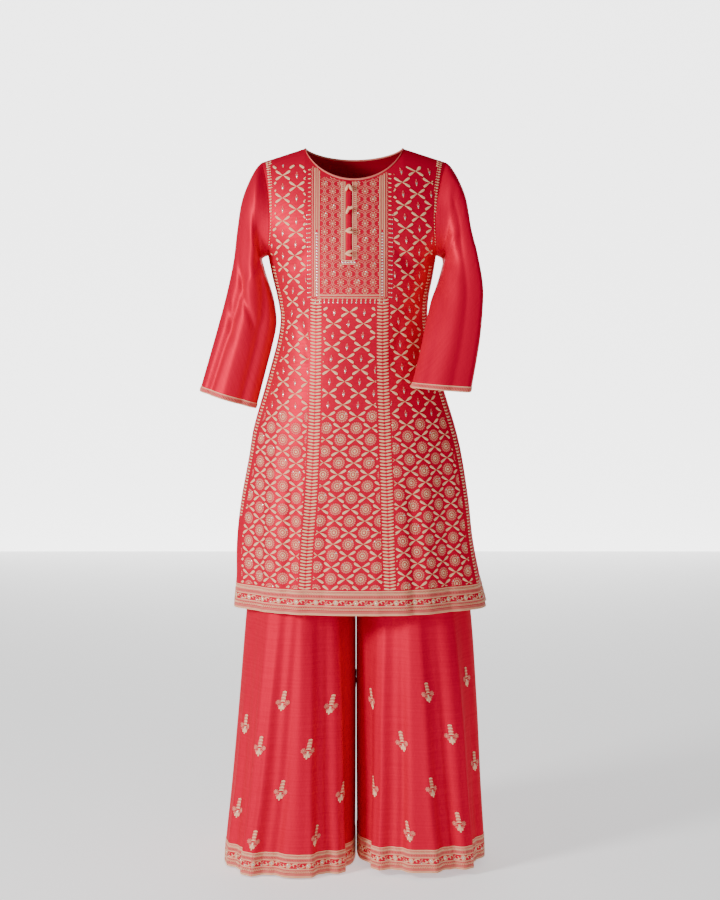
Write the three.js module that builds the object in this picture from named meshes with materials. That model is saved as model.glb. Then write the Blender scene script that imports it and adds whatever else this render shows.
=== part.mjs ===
import * as THREE from 'three';

// Sharara suit: an embroidered A-line kurta with three-quarter sleeves over a wide
// two-legged sharara, hollow, in the form that it has when it is worn.
// Millimetres. +Z up, the front faces -Y, +X is the viewer's right.
// The origin is the middle of the shoulder line, where the wearer carries the suit.

// Cloth and seams
const WALL = 1.6;             // thickness of every panel
const SEAM = 0.3;             // gap between two pieces that are sewn together
const TRIM = 1.0;             // thickness of a band or border laid on a panel

// Kurta, heights
const KURTA_HEM = -924;
const BORDER_TOP = -875;      // top of the embroidered hem border
const UNDERARM = -215;
const SHOULDER_TIP = { half: 185, z: -28 };
const NECK = { half: 98, front: -68, back: -24, angle: 36 };
const YOKE_BOTTOM = -300;
const CENTRE_FRONT = -10;     // the centre front line hangs a little to the left
const PLACKET_HALF = 5.5;
const GORE_BAND_HALF = 12.5;
const ARMHOLE_BAND = 11;      // degrees of the chest that the armhole band takes
const ARMHOLE_GAP = 0.8;      // between a sleeve and the armhole that it is set in
const ARMHOLE_CLEAR = 2;      // how far the band stays inside the armhole seam
const ARMHOLE_INSET = { front: 11, back: 9 };
const NECK_ROUND = 1.3;       // how round the neck edge is; 1 would be half an ellipse
const UPPER_WIDTH = 216;      // half width that rounds the chest above the underarm
const UPPER_POWER = 1.6;      // how quickly the chest rounds over to the shoulder seam
// How the half width goes over from the chest's own to UPPER_WIDTH: a smooth share that ends
// at one rise and a quick share that ends at another
const WIDEN = { smoothEnd: 0.55, quickEnd: 0.5, quickShare: 0.85 };

// Kurta, sections from the hem up: centre, half width, half depths, turn of the front
const KURTA = [
  { z: -924, centre: 13, half: 262, front: 165, back: 165, turn: -4.5 },
  { z: -875, centre: 9, half: 253, front: 161, back: 161, turn: -4.5 },
  { z: -795, centre: 2, half: 245, front: 154, back: 154, turn: -3.5 },
  { z: -713, centre: 2, half: 236, front: 147, back: 146, turn: -3 },
  { z: -621, centre: 3, half: 220, front: 138, back: 136, turn: -3 },
  { z: -565, centre: 1, half: 208, front: 132, back: 129, turn: -3 },
  { z: -480, centre: 0, half: 181, front: 121, back: 117, turn: -3 },
  { z: -445, centre: 0, half: 171, front: 114, back: 110, turn: -3 },
  { z: -385, centre: 0, half: 155, front: 105, back: 99, turn: -3.5 },
  { z: -340, centre: 0, half: 149, front: 104, back: 94, turn: -3.5 },
  { z: -300, centre: -2, half: 153, front: 110, back: 96, turn: -3 },
  { z: -258, centre: -3, half: 162, front: 115, back: 100, turn: -2.5 },
  { z: -215, centre: -4, half: 170, front: 113, back: 103, turn: -2 },
];

// Gore seams on the front, from the hem up
const GORE_SEAM = [
  { z: -924, left: -99, right: 73 },
  { z: -870, left: -97, right: 71 },
  { z: -785, left: -92, right: 68 },
  { z: -680, left: -84, right: 65 },
  { z: -540, left: -78, right: 60 },
  { z: -430, left: -76, right: 57 },
  { z: -300, left: -75, right: 57 },
  { z: 0, left: -75, right: 57 },
];

// Soft folds that open towards the hem: angle from the centre front, reach, depth
const KURTA_FOLDS = [
  { at: -31, reach: 8, deep: 6 },
  { at: -50, reach: 9, deep: -3 },
  { at: -70, reach: 9, deep: 5 },
  { at: -88, reach: 8, deep: -13 },
  { at: -106, reach: 9, deep: 8 },
  { at: -128, reach: 10, deep: -7 },
  { at: -152, reach: 10, deep: 6 },
  { at: -175, reach: 11, deep: -6 },
  { at: 160, reach: 11, deep: 6 },
  { at: 136, reach: 10, deep: -6 },
  { at: 110, reach: 9, deep: 9 },
  { at: 89, reach: 8, deep: -12 },
  { at: 68, reach: 9, deep: 6 },
  { at: 46, reach: 9, deep: -3 },
  { at: 25, reach: 8, deep: 6 },
];
const KURTA_FOLD_TOP = -430;

// Sleeves: outer edge, inner edge, how far forward the middle lies, half depth
const SLEEVE_LEFT = [
  { outerX: -197, outerZ: -40, innerX: -186, innerZ: -222, y: 0, deep: 62 },
  { outerX: -212, outerZ: -67, innerX: -186, innerZ: -242, y: 0, deep: 63 },
  { outerX: -227, outerZ: -108, innerX: -176, innerZ: -262, y: 0, deep: 63 },
  { outerX: -236, outerZ: -163, innerX: -167, innerZ: -286, y: 0, deep: 61 },
  { outerX: -244, outerZ: -227, innerX: -160, innerZ: -315, y: -1, deep: 58 },
  { outerX: -258, outerZ: -292, innerX: -157, innerZ: -352, y: -3, deep: 54 },
  { outerX: -272, outerZ: -345, innerX: -165, innerZ: -394, y: -6, deep: 50 },
  { outerX: -289, outerZ: -405, innerX: -178, innerZ: -444, y: -9, deep: 46 },
  { outerX: -309, outerZ: -474, innerX: -195, innerZ: -509, y: -12, deep: 42 },
  { outerX: -313, outerZ: -488, innerX: -199, innerZ: -523, y: -13, deep: 42 },
];
const SLEEVE_RIGHT = [
  { outerX: 196, outerZ: -38, innerX: 178, innerZ: -222, y: -1, deep: 62 },
  { outerX: 211, outerZ: -63, innerX: 178, innerZ: -242, y: -4, deep: 62 },
  { outerX: 226, outerZ: -102, innerX: 171, innerZ: -262, y: -10, deep: 61 },
  { outerX: 235, outerZ: -157, innerX: 164, innerZ: -281, y: -22, deep: 58 },
  { outerX: 249, outerZ: -219, innerX: 155, innerZ: -303, y: -44, deep: 54 },
  { outerX: 257, outerZ: -275, innerX: 147, innerZ: -332, y: -70, deep: 49 },
  { outerX: 255, outerZ: -325, innerX: 139, innerZ: -366, y: -94, deep: 46 },
  { outerX: 247, outerZ: -390, innerX: 129, innerZ: -410, y: -121, deep: 43 },
  { outerX: 232, outerZ: -468, innerX: 115, innerZ: -461, y: -150, deep: 41 },
  { outerX: 229, outerZ: -482, innerX: 112, innerZ: -473, y: -154, deep: 41 },
];
const SLEEVE_STEPS = 20;      // columns round a sleeve, half of them on each side

// Sharara
const BAND_TOP = -445;
const BAND_BOTTOM = -480;
const BAND_WALL = 2.5;
const FORK_TOP = -590;        // where the centre seams start to curve under
const FORK = -740;            // where the two legs part
const FORK_BLEND = 30;        // degrees beside the inside leg over which the folds fade out
const LEG_MIDDLE = 4;         // where the two legs meet, a little to the right of the middle
const LEG_OPENING = 1.3;      // how late the leg folds open towards the hem
const LEG_HEM = { left: -1444, right: -1434 };
const LEG_BORDER = 46;        // height of the embroidered border
const LEG_COLUMNS = 18;
// Sections of both legs together; power 2 is an ellipse, more is squarer, and gap is half
// the distance between the legs
const SHARARA = [
  { z: -1444, left: -261, right: 263, front: 182, back: 178, power: 2.9, gap: 1.7 },
  { z: -1395, left: -258, right: 262, front: 178, back: 174, power: 2.8, gap: 1.7 },
  { z: -1291, left: -248, right: 257, front: 168, back: 165, power: 2.5, gap: 1 },
  { z: -1121, left: -234, right: 250, front: 152, back: 150, power: 2.3, gap: 0.6 },
  { z: -924, left: -219, right: 237, front: 129, back: 129, power: 2, gap: 0.6 },
  { z: -740, left: -201, right: 209, front: 113, back: 112, power: 2, gap: 0.6 },
  { z: -590, left: -188, right: 190, front: 116, back: 112, power: 2, gap: 0.6 },
  { z: -480, left: -175, right: 175, front: 113, back: 109, power: 2, gap: 0.6 },
];
// Folds round a leg: angle from the inside leg, front half first, reach, depth
const LEG_FOLDS = [
  { at: 34, reach: 8, deep: -6 },
  { at: 52, reach: 8, deep: 7 },
  { at: 69, reach: 7, deep: -6 },
  { at: 87, reach: 8, deep: 8 },
  { at: 105, reach: 7, deep: -7 },
  { at: 124, reach: 8, deep: 7 },
  { at: 144, reach: 8, deep: -7 },
  { at: 166, reach: 9, deep: 6 },
  { at: 189, reach: 9, deep: -6 },
  { at: 211, reach: 9, deep: 7 },
  { at: 232, reach: 8, deep: -7 },
  { at: 252, reach: 8, deep: 7 },
  { at: 273, reach: 8, deep: -7 },
  { at: 295, reach: 9, deep: 7 },
  { at: 318, reach: 9, deep: -6 },
];

// Piping and buttons
const PIPING = { across: 4.4, sides: 8, clear: 0.5 };
const BUTTON = {
  ball: 3.4, drop: 3, length: 13, waist: 1, ballEnd: 0.5, dropStart: 0.42, dropRound: 0.8,
  rings: 8, sides: 10, first: -78, pitch: 42.5, count: 4,
};

const SILK = { color: '#cf1030', roughness: 0.5, metalness: 0 };
const EMBROIDERY = { color: '#dcae86', roughness: 0.6, metalness: 0.1 };
const POTLI = { color: '#f0d9b8', roughness: 0.45, metalness: 0.1 };

const group = new THREE.Group();

// Plain maths
const rad = THREE.MathUtils.degToRad;
const mix = THREE.MathUtils.lerp;
const clamp = (x) => Math.min(1, Math.max(0, x));
const smooth = (x) => clamp(x) * clamp(x) * (3 - 2 * clamp(x));
const power = (x, n) => Math.sign(x) * Math.pow(Math.abs(x), n);

// A row of a table at a height, by a curve through the rows on either side
function rowAt(table, z) {
  const last = table.length - 1;
  let i = 0;
  while (i < last - 1 && table[i + 1].z < z) i += 1;
  const low = table[i];
  const high = table[i + 1];
  const f = clamp((z - low.z) / (high.z - low.z));
  const before = table[Math.max(0, i - 1)];
  const after = table[Math.min(last, i + 2)];
  const row = {};
  for (const key of Object.keys(low)) {
    const slopeLow = (high[key] - before[key]) / (high.z - before.z);
    const slopeHigh = (after[key] - low[key]) / (after.z - low.z);
    const step = high.z - low.z;
    row[key] = (2 * f ** 3 - 3 * f ** 2 + 1) * low[key] + (f ** 3 - 2 * f ** 2 + f) * step * slopeLow
      + (3 * f ** 2 - 2 * f ** 3) * high[key] + (f ** 3 - f ** 2) * step * slopeHigh;
  }
  row.z = z;
  return row;
}

// Sum of soft ridges and troughs round a ring
function foldDepth(folds, angle) {
  let sum = 0;
  for (const fold of folds) {
    const away = ((angle - fold.at + 540) % 360) - 180;
    sum += fold.deep * Math.exp(-((away / fold.reach) ** 2));
  }
  return sum;
}

// The kurta's surface. face is -1 on the front and 1 on the back, angle runs from -90 at the
// left side seam to 90 at the right one, and rise runs from 0 at the hem through 1 at the
// underarm to 2 at the shoulder seam and neck edge.
function kurta(face, angle, rise) {
  if (rise > 1) return kurtaUpper(face, angle, rise - 1);
  const z = mix(KURTA_HEM, UNDERARM, rise);
  const row = rowAt(KURTA, z);
  const theta = rad(angle - face * row.turn * Math.cos(rad(angle)));
  const deep = face < 0 ? row.front : row.back;
  const out = new THREE.Vector3(Math.sin(theta) / row.half, face * Math.cos(theta) / deep, 0).normalize();
  const around = face < 0 ? angle : 180 - angle;
  const open = smooth((KURTA_FOLD_TOP - z) / (KURTA_FOLD_TOP - KURTA_HEM));
  const x = row.centre + row.half * Math.sin(theta);
  return new THREE.Vector3(x, face * deep * Math.cos(theta), z)
    .addScaledVector(out, open * foldDepth(KURTA_FOLDS, around));
}

// Above the underarm each column runs on to the shoulder seam or to the neck edge
function kurtaUpper(face, angle, t) {
  const row = rowAt(KURTA, UNDERARM);
  const side = Math.sign(angle);
  const lean = Math.abs(angle);
  const theta = rad(angle - face * row.turn * Math.cos(rad(angle)));
  const startX = row.centre + row.half * Math.sin(theta);
  const drop = face < 0 ? NECK.front : NECK.back;
  let endX = NECK.half * Math.sin(rad(90 * angle / NECK.angle));
  let endZ = drop * Math.cos(rad(90 * angle / NECK.angle)) ** NECK_ROUND;
  let edge = 0;
  if (lean >= NECK.angle) {
    edge = (lean - NECK.angle) / (90 - NECK.angle);
    endX = side * mix(NECK.half, SHOULDER_TIP.half, edge);
    endZ = mix(0, SHOULDER_TIP.z, edge);
  }
  const inset = face < 0 ? ARMHOLE_INSET.front : ARMHOLE_INSET.back;
  const x = mix(startX, endX, t) - side * inset * Math.sin(Math.PI * t) * edge ** 2;
  const z = mix(UNDERARM, endZ, t);
  const slope = clamp((Math.abs(x) - NECK.half) / (SHOULDER_TIP.half - NECK.half));
  const climb = clamp((z - UNDERARM) / (mix(0, SHOULDER_TIP.z, slope) - UNDERARM));
  const quick = 1 - (1 - clamp(t / WIDEN.quickEnd)) ** 2;
  const width = mix(row.half, UPPER_WIDTH, mix(smooth(t / WIDEN.smoothEnd), quick, WIDEN.quickShare));
  const deep = face < 0 ? row.front : row.back;
  const reach = Math.sqrt(Math.max(0, 1 - ((x - row.centre * (1 - t)) / width) ** 2));
  return new THREE.Vector3(x, face * deep * reach * Math.sqrt(1 - climb ** UPPER_POWER), z);
}

// The outward direction of a surface, from points close by
function outward(surface, u, v, du, dv, flip) {
  const across = surface(u + du, v).sub(surface(u - du, v));
  const up = surface(u, Math.min(v + dv, surface.top)).sub(surface(u, Math.max(v - dv, surface.bottom)));
  return across.cross(up).multiplyScalar(flip).normalize();
}

// A point of the kurta with its outward direction, which is level along the side and
// shoulder seams, so that the front and back walls meet there
const STEP = { angle: 0.4, rise: 0.004 };
const isSideSeam = (angle) => Math.abs(angle) > 89.9;
const isShoulder = (angle, rise) => rise > 1.999 && Math.abs(angle) >= NECK.angle;
function kurtaPoint(face, angle, rise) {
  const surface = (u, v) => kurta(face, u, v);
  surface.top = 2;
  surface.bottom = 0;
  const out = outward(surface, angle, rise, STEP.angle, STEP.rise, -face);
  if ((isSideSeam(angle) && rise <= 1) || isShoulder(angle, rise)) out.y = 0;
  return { point: kurta(face, angle, rise), out: out.normalize() };
}

// The angle on the front where a row reaches a given x
function angleAt(x, rise) {
  let low = -89.5;
  let high = 89.5;
  for (let i = 0; i < 40; i += 1) {
    const middle = (low + high) / 2;
    if (kurta(-1, middle, rise).x < x) low = middle;
    else high = middle;
  }
  return (low + high) / 2;
}

// Rows: heights below the underarm, then rises that follow the round of the armhole
const riseOf = (z) => (z - KURTA_HEM) / (UNDERARM - KURTA_HEM);
const LOWER_Z = [KURTA_HEM, BORDER_TOP, -795, -705, -615, -545, BAND_BOTTOM, BAND_TOP,
  -385, -338, YOKE_BOTTOM, -258];
const HALF_TURN = SLEEVE_STEPS / 2;
const ROWS = LOWER_Z.map(riseOf);
for (let k = 0; k <= HALF_TURN; k += 1) ROWS.push(1 + (1 - Math.cos(Math.PI * k / HALF_TURN)) / 2);
const YOKE_ROW = LOWER_Z.indexOf(YOKE_BOTTOM);
const UNDERARM_ROW = LOWER_Z.length;
const TOP_ROW = ROWS.length - 1;

// Columns of the front: each is a function that gives an angle on a row
const seamX = (side, rise) => rowAt(GORE_SEAM, rise > 1 ? 0 : mix(KURTA_HEM, UNDERARM, rise))[side];
const fromSeam = (side, offset) => (rise) => angleAt(seamX(side, rise) + offset, rise);
const fromCentre = (offset) => (rise) => angleAt(CENTRE_FRONT + offset, rise);
const between = (a, b, f) => (rise) => mix(a(rise), b(rise), f);
const LEFT_BAND_IN = fromSeam('left', GORE_BAND_HALF);
const RIGHT_BAND_IN = fromSeam('right', -GORE_BAND_HALF);
const PLACKET_COLUMNS = [fromCentre(-PLACKET_HALF), fromCentre(PLACKET_HALF)];
const THIRDS = [1 / 3, 2 / 3];
const CENTRE_COLUMNS = [fromSeam('left', 0), LEFT_BAND_IN,
  ...THIRDS.map((f) => between(LEFT_BAND_IN, PLACKET_COLUMNS[0], f)), ...PLACKET_COLUMNS,
  ...THIRDS.map((f) => between(PLACKET_COLUMNS[1], RIGHT_BAND_IN, f)),
  RIGHT_BAND_IN, fromSeam('right', 0)];
const EDGE_ANGLE = 90 - ARMHOLE_BAND;
const SIDE_ANGLES = [0, 1, 2, 3, 4].map((i) => mix(NECK.angle, EDGE_ANGLE, i / 4)).concat(90);
const RIGHT_COLUMNS = [fromSeam('right', 0), fromSeam('right', GORE_BAND_HALF),
  ...SIDE_ANGLES.map((angle) => () => angle)];
const LEFT_COLUMNS = [...SIDE_ANGLES.map((angle) => () => -angle).reverse(),
  fromSeam('left', -GORE_BAND_HALF), fromSeam('left', 0)];
const BACK_HALF = [...SIDE_ANGLES].reverse().concat([27, 18, 9]);
const BACK_COLUMNS = [...BACK_HALF, 0, ...BACK_HALF.map((angle) => -angle).reverse()]
  .map((angle) => () => angle);

// A grid of surface points, row by row, on the kurta
function kurtaGrid(face, columns, rows) {
  return rows.map((rise) => columns.map((column) => kurtaPoint(face, column(rise), rise)));
}

// Draws the open edges of a grid in, by half a seam or more, so that two pieces stay apart
function drawIn(grid, edges, by = SEAM / 2) {
  const moved = grid.map((row) => row.map((p) => ({ point: p.point.clone(), out: p.out })));
  const pull = (to, from) => to.point.addScaledVector(from.point.clone().sub(to.point).normalize(), by);
  const lastRow = grid.length - 1;
  const lastColumn = grid[0].length - 1;
  for (let r = 0; r <= lastRow; r += 1) {
    if (edges.includes('left')) pull(moved[r][0], grid[r][1]);
    if (edges.includes('right')) pull(moved[r][lastColumn], grid[r][lastColumn - 1]);
  }
  for (let c = 0; c <= lastColumn; c += 1) {
    if (edges.includes('bottom')) pull(moved[0][c], grid[1][c]);
    if (edges.includes('top')) pull(moved[lastRow][c], grid[lastRow - 1][c]);
  }
  return moved;
}

// A closed wall on a grid: outer and inner faces at two heights over it, and the rims
function wall(grid, inner, outer, closed = false) {
  const rows = grid.length;
  const columns = grid[0].length;
  const around = closed ? columns : columns - 1;
  const positions = [];
  for (const height of [outer, inner]) {
    for (const row of grid) {
      for (const p of row) {
        const at = p.point.clone().addScaledVector(p.out, height);
        positions.push(at.x, at.y, at.z);
      }
    }
  }
  const outside = (r, c) => r * columns + (c % columns);
  const inside = (r, c) => rows * columns + outside(r, c);
  const index = [];
  const quad = (a, b, c, d) => index.push(a, b, c, a, c, d);
  for (let r = 0; r < rows - 1; r += 1) {
    for (let c = 0; c < around; c += 1) {
      quad(outside(r, c), outside(r, c + 1), outside(r + 1, c + 1), outside(r + 1, c));
      quad(inside(r, c), inside(r + 1, c), inside(r + 1, c + 1), inside(r, c + 1));
    }
  }
  for (let c = 0; c < around; c += 1) {
    quad(inside(0, c), inside(0, c + 1), outside(0, c + 1), outside(0, c));
    quad(outside(rows - 1, c), outside(rows - 1, c + 1), inside(rows - 1, c + 1), inside(rows - 1, c));
  }
  const last = columns - 1;
  for (let r = 0; r < rows - 1 && !closed; r += 1) {
    quad(inside(r, 0), outside(r, 0), outside(r + 1, 0), inside(r + 1, 0));
    quad(outside(r, last), inside(r, last), inside(r + 1, last), outside(r + 1, last));
  }
  const geometry = new THREE.BufferGeometry();
  geometry.setAttribute('position', new THREE.Float32BufferAttribute(positions, 3));
  geometry.setIndex(index);
  geometry.computeVertexNormals();
  return geometry;
}

function add(name, geometry, finish) {
  const mesh = new THREE.Mesh(geometry, new THREE.MeshStandardMaterial(finish));
  mesh.name = name;
  group.add(mesh);
}

const panel = (name, grid, edges) => add(name, wall(drawIn(grid, edges), -WALL, 0), SILK);
const trim = (name, grid, edges, { layer = 0, by = SEAM / 2 } = {}) => {
  const foot = SEAM + layer * (TRIM + SEAM);
  add(name, wall(drawIn(grid, edges, by), foot, foot + TRIM), layer > 0 ? SILK : EMBROIDERY);
};
const ALL = ['left', 'right', 'bottom', 'top'];
const SIDES = ['left', 'right'];

// Kurta panels
panel('kurta_front_centre', kurtaGrid(-1, CENTRE_COLUMNS, ROWS), SIDES);
panel('kurta_front_left', kurtaGrid(-1, LEFT_COLUMNS, ROWS), ['left', 'right', 'top']);
panel('kurta_front_right', kurtaGrid(-1, RIGHT_COLUMNS, ROWS), ['left', 'right', 'top']);
panel('kurta_back', kurtaGrid(1, BACK_COLUMNS, ROWS), ['left', 'right', 'top']);

// Yoke, placket and bands, on the panels' own points
const YOKE_ROWS = ROWS.slice(YOKE_ROW);
trim('yoke_panel', kurtaGrid(-1, CENTRE_COLUMNS, YOKE_ROWS), ALL);
trim('placket', kurtaGrid(-1, PLACKET_COLUMNS, ROWS.slice(UNDERARM_ROW)), ALL, { layer: 1 });
const BAND_ROWS = ROWS.slice(1, YOKE_ROW + 1);
const LEFT_BAND = [fromSeam('left', -GORE_BAND_HALF), fromSeam('left', 0), LEFT_BAND_IN];
const RIGHT_BAND = [RIGHT_BAND_IN, fromSeam('right', 0), fromSeam('right', GORE_BAND_HALF)];
trim('gore_band_left', kurtaGrid(-1, LEFT_BAND, BAND_ROWS), ALL);
trim('gore_band_right', kurtaGrid(-1, RIGHT_BAND, BAND_ROWS), ALL);
const ARMHOLE_ROWS = ROWS.slice(UNDERARM_ROW + 3);
trim('armhole_band_left', kurtaGrid(-1, LEFT_COLUMNS.slice(0, 2), ARMHOLE_ROWS), ALL, { by: ARMHOLE_CLEAR });
trim('armhole_band_right', kurtaGrid(-1, RIGHT_COLUMNS.slice(-2), ARMHOLE_ROWS), ALL,
  { by: ARMHOLE_CLEAR });
const FRONT_COLUMNS = [...LEFT_COLUMNS, ...CENTRE_COLUMNS.slice(1), ...RIGHT_COLUMNS.slice(1)];
const BORDER_ROWS = ROWS.slice(0, 2);
trim('hem_border_front', kurtaGrid(-1, FRONT_COLUMNS, BORDER_ROWS), ['left', 'right', 'top']);
trim('hem_border_back', kurtaGrid(1, BACK_COLUMNS, BORDER_ROWS), ['left', 'right', 'top']);

// Piping round the neck: a round cord of cloth that goes on from the neck edge, with a
// station at each column of the panels, along the front and back behind
function neckStations() {
  const isNeck = (angle) => Math.abs(angle) <= NECK.angle + 0.01;
  const front = FRONT_COLUMNS.map((column) => column(2)).filter(isNeck);
  const back = BACK_COLUMNS.map((column) => column(2)).filter(isNeck).slice(1, -1);
  const edge = (face) => (angle) => kurtaPoint(face, angle, 2);
  return [...front.map(edge(-1)), ...back.map(edge(1))];
}
function neckPiping() {
  const { across, sides, clear } = PIPING;
  const stations = neckStations();
  const steps = stations.length;
  const positions = [];
  const index = [];
  for (let i = 0; i < steps; i += 1) {
    const { point, out } = stations[i];
    const ahead = stations[(i + 1) % steps].point;
    const behind = stations[(i + steps - 1) % steps].point;
    const along = ahead.clone().sub(behind).normalize();
    const onward = out.clone().cross(along).normalize();
    const heart = point.clone().addScaledVector(onward, across / 2 + clear).addScaledVector(out, -WALL / 2);
    for (let j = 0; j < sides; j += 1) {
      const spin = 2 * Math.PI * j / sides;
      const at = heart.clone().addScaledVector(onward, across / 2 * Math.cos(spin))
        .addScaledVector(out, across / 2 * Math.sin(spin));
      positions.push(at.x, at.y, at.z);
    }
    for (let j = 0; j < sides; j += 1) {
      const here = i * sides;
      const next = ((i + 1) % steps) * sides;
      const k = (j + 1) % sides;
      index.push(here + j, here + k, next + k, here + j, next + k, next + j);
    }
  }
  const geometry = new THREE.BufferGeometry();
  geometry.setAttribute('position', new THREE.Float32BufferAttribute(positions, 3));
  geometry.setIndex(index);
  geometry.computeVertexNormals();
  return geometry;
}
add('neck_binding', neckPiping(), EMBROIDERY);

// Sleeves: the first ring is the armhole edge, the others come from the table
function sleeveGrid(side, table) {
  const angle = side * 90;
  const armhole = [];
  for (let k = 0; k < SLEEVE_STEPS; k += 1) {
    const phi = 2 * Math.PI * k / SLEEVE_STEPS;
    const rise = 1 + (1 + Math.cos(phi)) / 2;
    const point = kurta(phi <= Math.PI ? -1 : 1, angle, rise);
    const out = new THREE.Vector3(0, -Math.sin(phi), Math.cos(phi));
    armhole.push({ point: point.add(new THREE.Vector3(side * ARMHOLE_GAP, 0, 0)), out });
  }
  const rings = [armhole];
  for (const row of table) {
    const outer = new THREE.Vector3(row.outerX, row.y, row.outerZ);
    const inner = new THREE.Vector3(row.innerX, row.y, row.innerZ);
    const heart = outer.clone().add(inner).multiplyScalar(0.5);
    const reach = outer.distanceTo(inner) / 2;
    const lift = outer.clone().sub(inner).normalize();
    const ring = [];
    for (let k = 0; k < SLEEVE_STEPS; k += 1) {
      const phi = 2 * Math.PI * k / SLEEVE_STEPS;
      const point = heart.clone().addScaledVector(lift, reach * Math.cos(phi));
      point.y -= row.deep * Math.sin(phi);
      const out = lift.clone().multiplyScalar(Math.cos(phi) / reach);
      out.y -= Math.sin(phi) / row.deep;
      ring.push({ point, out: out.normalize() });
    }
    rings.push(ring);
  }
  // Columns run so that the outer face looks out on either side
  return rings.reverse().map((ring) => (side < 0 ? ring : [...ring].reverse()));
}
for (const [side, name, table] of [[-1, 'left', SLEEVE_LEFT], [1, 'right', SLEEVE_RIGHT]]) {
  const grid = sleeveGrid(side, table);
  add(`sleeve_${name}`, wall(grid, -WALL, 0, true), SILK);
  add(`sleeve_trim_${name}`, wall(grid.slice(0, 2), SEAM, SEAM + TRIM, true), EMBROIDERY);
}

// The waistband lies just inside the kurta, on the kurta's own columns
const BAND_RISES = [riseOf(BAND_BOTTOM), riseOf(BAND_TOP)];
const frontBand = kurtaGrid(-1, FRONT_COLUMNS, BAND_RISES);
const backBand = kurtaGrid(1, BACK_COLUMNS, BAND_RISES);
const bandGrid = frontBand.map((row, r) => [...row.slice(0, -1), ...backBand[r].slice(0, -1)]);
const BAND_OUTER = -WALL - SEAM;
add('waistband', wall(bandGrid, BAND_OUTER - BAND_WALL, BAND_OUTER, true), SILK);

// The sharara's surface. side is -1 or 1, turn runs from 0 at the inside leg round the front
// to 180 at the side seam and on round the back to 360. Above the fork it is half a torso.
function leg(side, turn, z) {
  const row = rowAt(SHARARA, z);
  const beta = rad(turn);
  const deep = turn <= 180 ? row.front : row.back;
  const centre = (row.left + row.right) / 2;
  const half = (row.right - row.left) / 2;
  const torsoX = (centre + side * half) * Math.sin(beta / 2) + side * SEAM / 2;
  const torso = new THREE.Vector3(torsoX, -deep * Math.cos(beta / 2), z);
  const far = side < 0 ? row.left : row.right;
  const near = LEG_MIDDLE + side * row.gap;
  const across = (far - near) / 2;
  const tube = new THREE.Vector3((near + far) / 2 - across * power(Math.cos(beta), 2 / row.power),
    -deep * power(Math.sin(beta), 2 / row.power), z);
  const parted = smooth((FORK_TOP - z) / (FORK_TOP - FORK));
  const point = torso.lerp(tube, parted);
  const open = clamp((FORK_TOP - z) / (FORK_TOP - SHARARA[0].z)) ** LEG_OPENING;
  const inside = 1 - smooth(1 - Math.abs(((turn + 180) % 360) - 180) / FORK_BLEND);
  const out = new THREE.Vector3(-side * Math.cos(beta), -Math.sin(beta), 0);
  return point.addScaledVector(out, open * inside * foldDepth(LEG_FOLDS, turn));
}

// A point of a leg with its outward direction, from points close by on the same panel
const LEG_STEP = { turn: 0.8, z: 3 };
function legPoint(side, turn, z, hem) {
  const low = turn <= 180 ? 0 : 180;
  const onward = leg(side, Math.min(turn + LEG_STEP.turn, low + 180), z);
  const back = leg(side, Math.max(turn - LEG_STEP.turn, low), z);
  const above = leg(side, turn, Math.min(z + LEG_STEP.z, BAND_BOTTOM));
  const below = leg(side, turn, Math.max(z - LEG_STEP.z, hem));
  const out = onward.sub(back).cross(above.sub(below)).multiplyScalar(side).normalize();
  return { point: leg(side, turn, z), out };
}

const LEG_Z = [-1310, -1180, -1050, -924, -820, FORK, -690, -640, FORK_TOP, -535];
for (const [side, name] of [[-1, 'left'], [1, 'right']]) {
  const hem = LEG_HEM[name];
  const heights = [hem, hem + LEG_BORDER, ...LEG_Z, BAND_BOTTOM];
  for (const [start, half] of [[0, 'front'], [180, 'back']]) {
    const turns = [];
    for (let i = 0; i <= LEG_COLUMNS; i += 1) turns.push(start + 180 * i / LEG_COLUMNS);
    if (side < 0) turns.reverse();
    const grid = heights.map((z) => turns.map((turn) => legPoint(side, turn, z, hem)));
    panel(`leg_${name}_${half}`, grid, ['left', 'right', 'top']);
    trim(`leg_border_${name}_${half}`, grid.slice(0, 2), ['left', 'right', 'top']);
  }
}

// Potli buttons: a ball with a drop of cloth under it, standing on the placket. The ball
// ends halfway down and the drop starts a little above that.
function potli() {
  const { ball, drop, length, ballEnd, dropStart, dropRound, waist, rings, sides } = BUTTON;
  const outline = [new THREE.Vector2(0, 0)];
  for (let i = 1; i < rings; i += 1) {
    const f = i / rings;
    const upper = ball * Math.sin(Math.PI * clamp(f / ballEnd));
    const lower = drop * Math.sin(Math.PI * clamp((f - dropStart) / (1 - dropStart))) ** dropRound;
    outline.push(new THREE.Vector2(Math.max(upper, lower, waist), -length * f));
  }
  outline.push(new THREE.Vector2(0, -length));
  return new THREE.LatheGeometry(outline.reverse(), sides).rotateX(Math.PI / 2);
}
for (let i = 0; i < BUTTON.count; i += 1) {
  const z = BUTTON.first - i * BUTTON.pitch;
  let low = 1;
  let high = 2;
  for (let k = 0; k < 30; k += 1) {
    const middle = (low + high) / 2;
    if (kurta(-1, fromCentre(0)(middle), middle).z < z) low = middle;
    else high = middle;
  }
  const { point, out } = kurtaPoint(-1, fromCentre(0)(low), low);
  const mesh = new THREE.Mesh(potli(), new THREE.MeshStandardMaterial(POTLI));
  mesh.name = `button_${i + 1}`;
  mesh.position.copy(point).addScaledVector(out, 2 * (SEAM + TRIM) + SEAM + BUTTON.ball);
  mesh.rotation.x = -Math.atan2(out.z, -out.y);
  group.add(mesh);
}

export default group;
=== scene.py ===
import math

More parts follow.
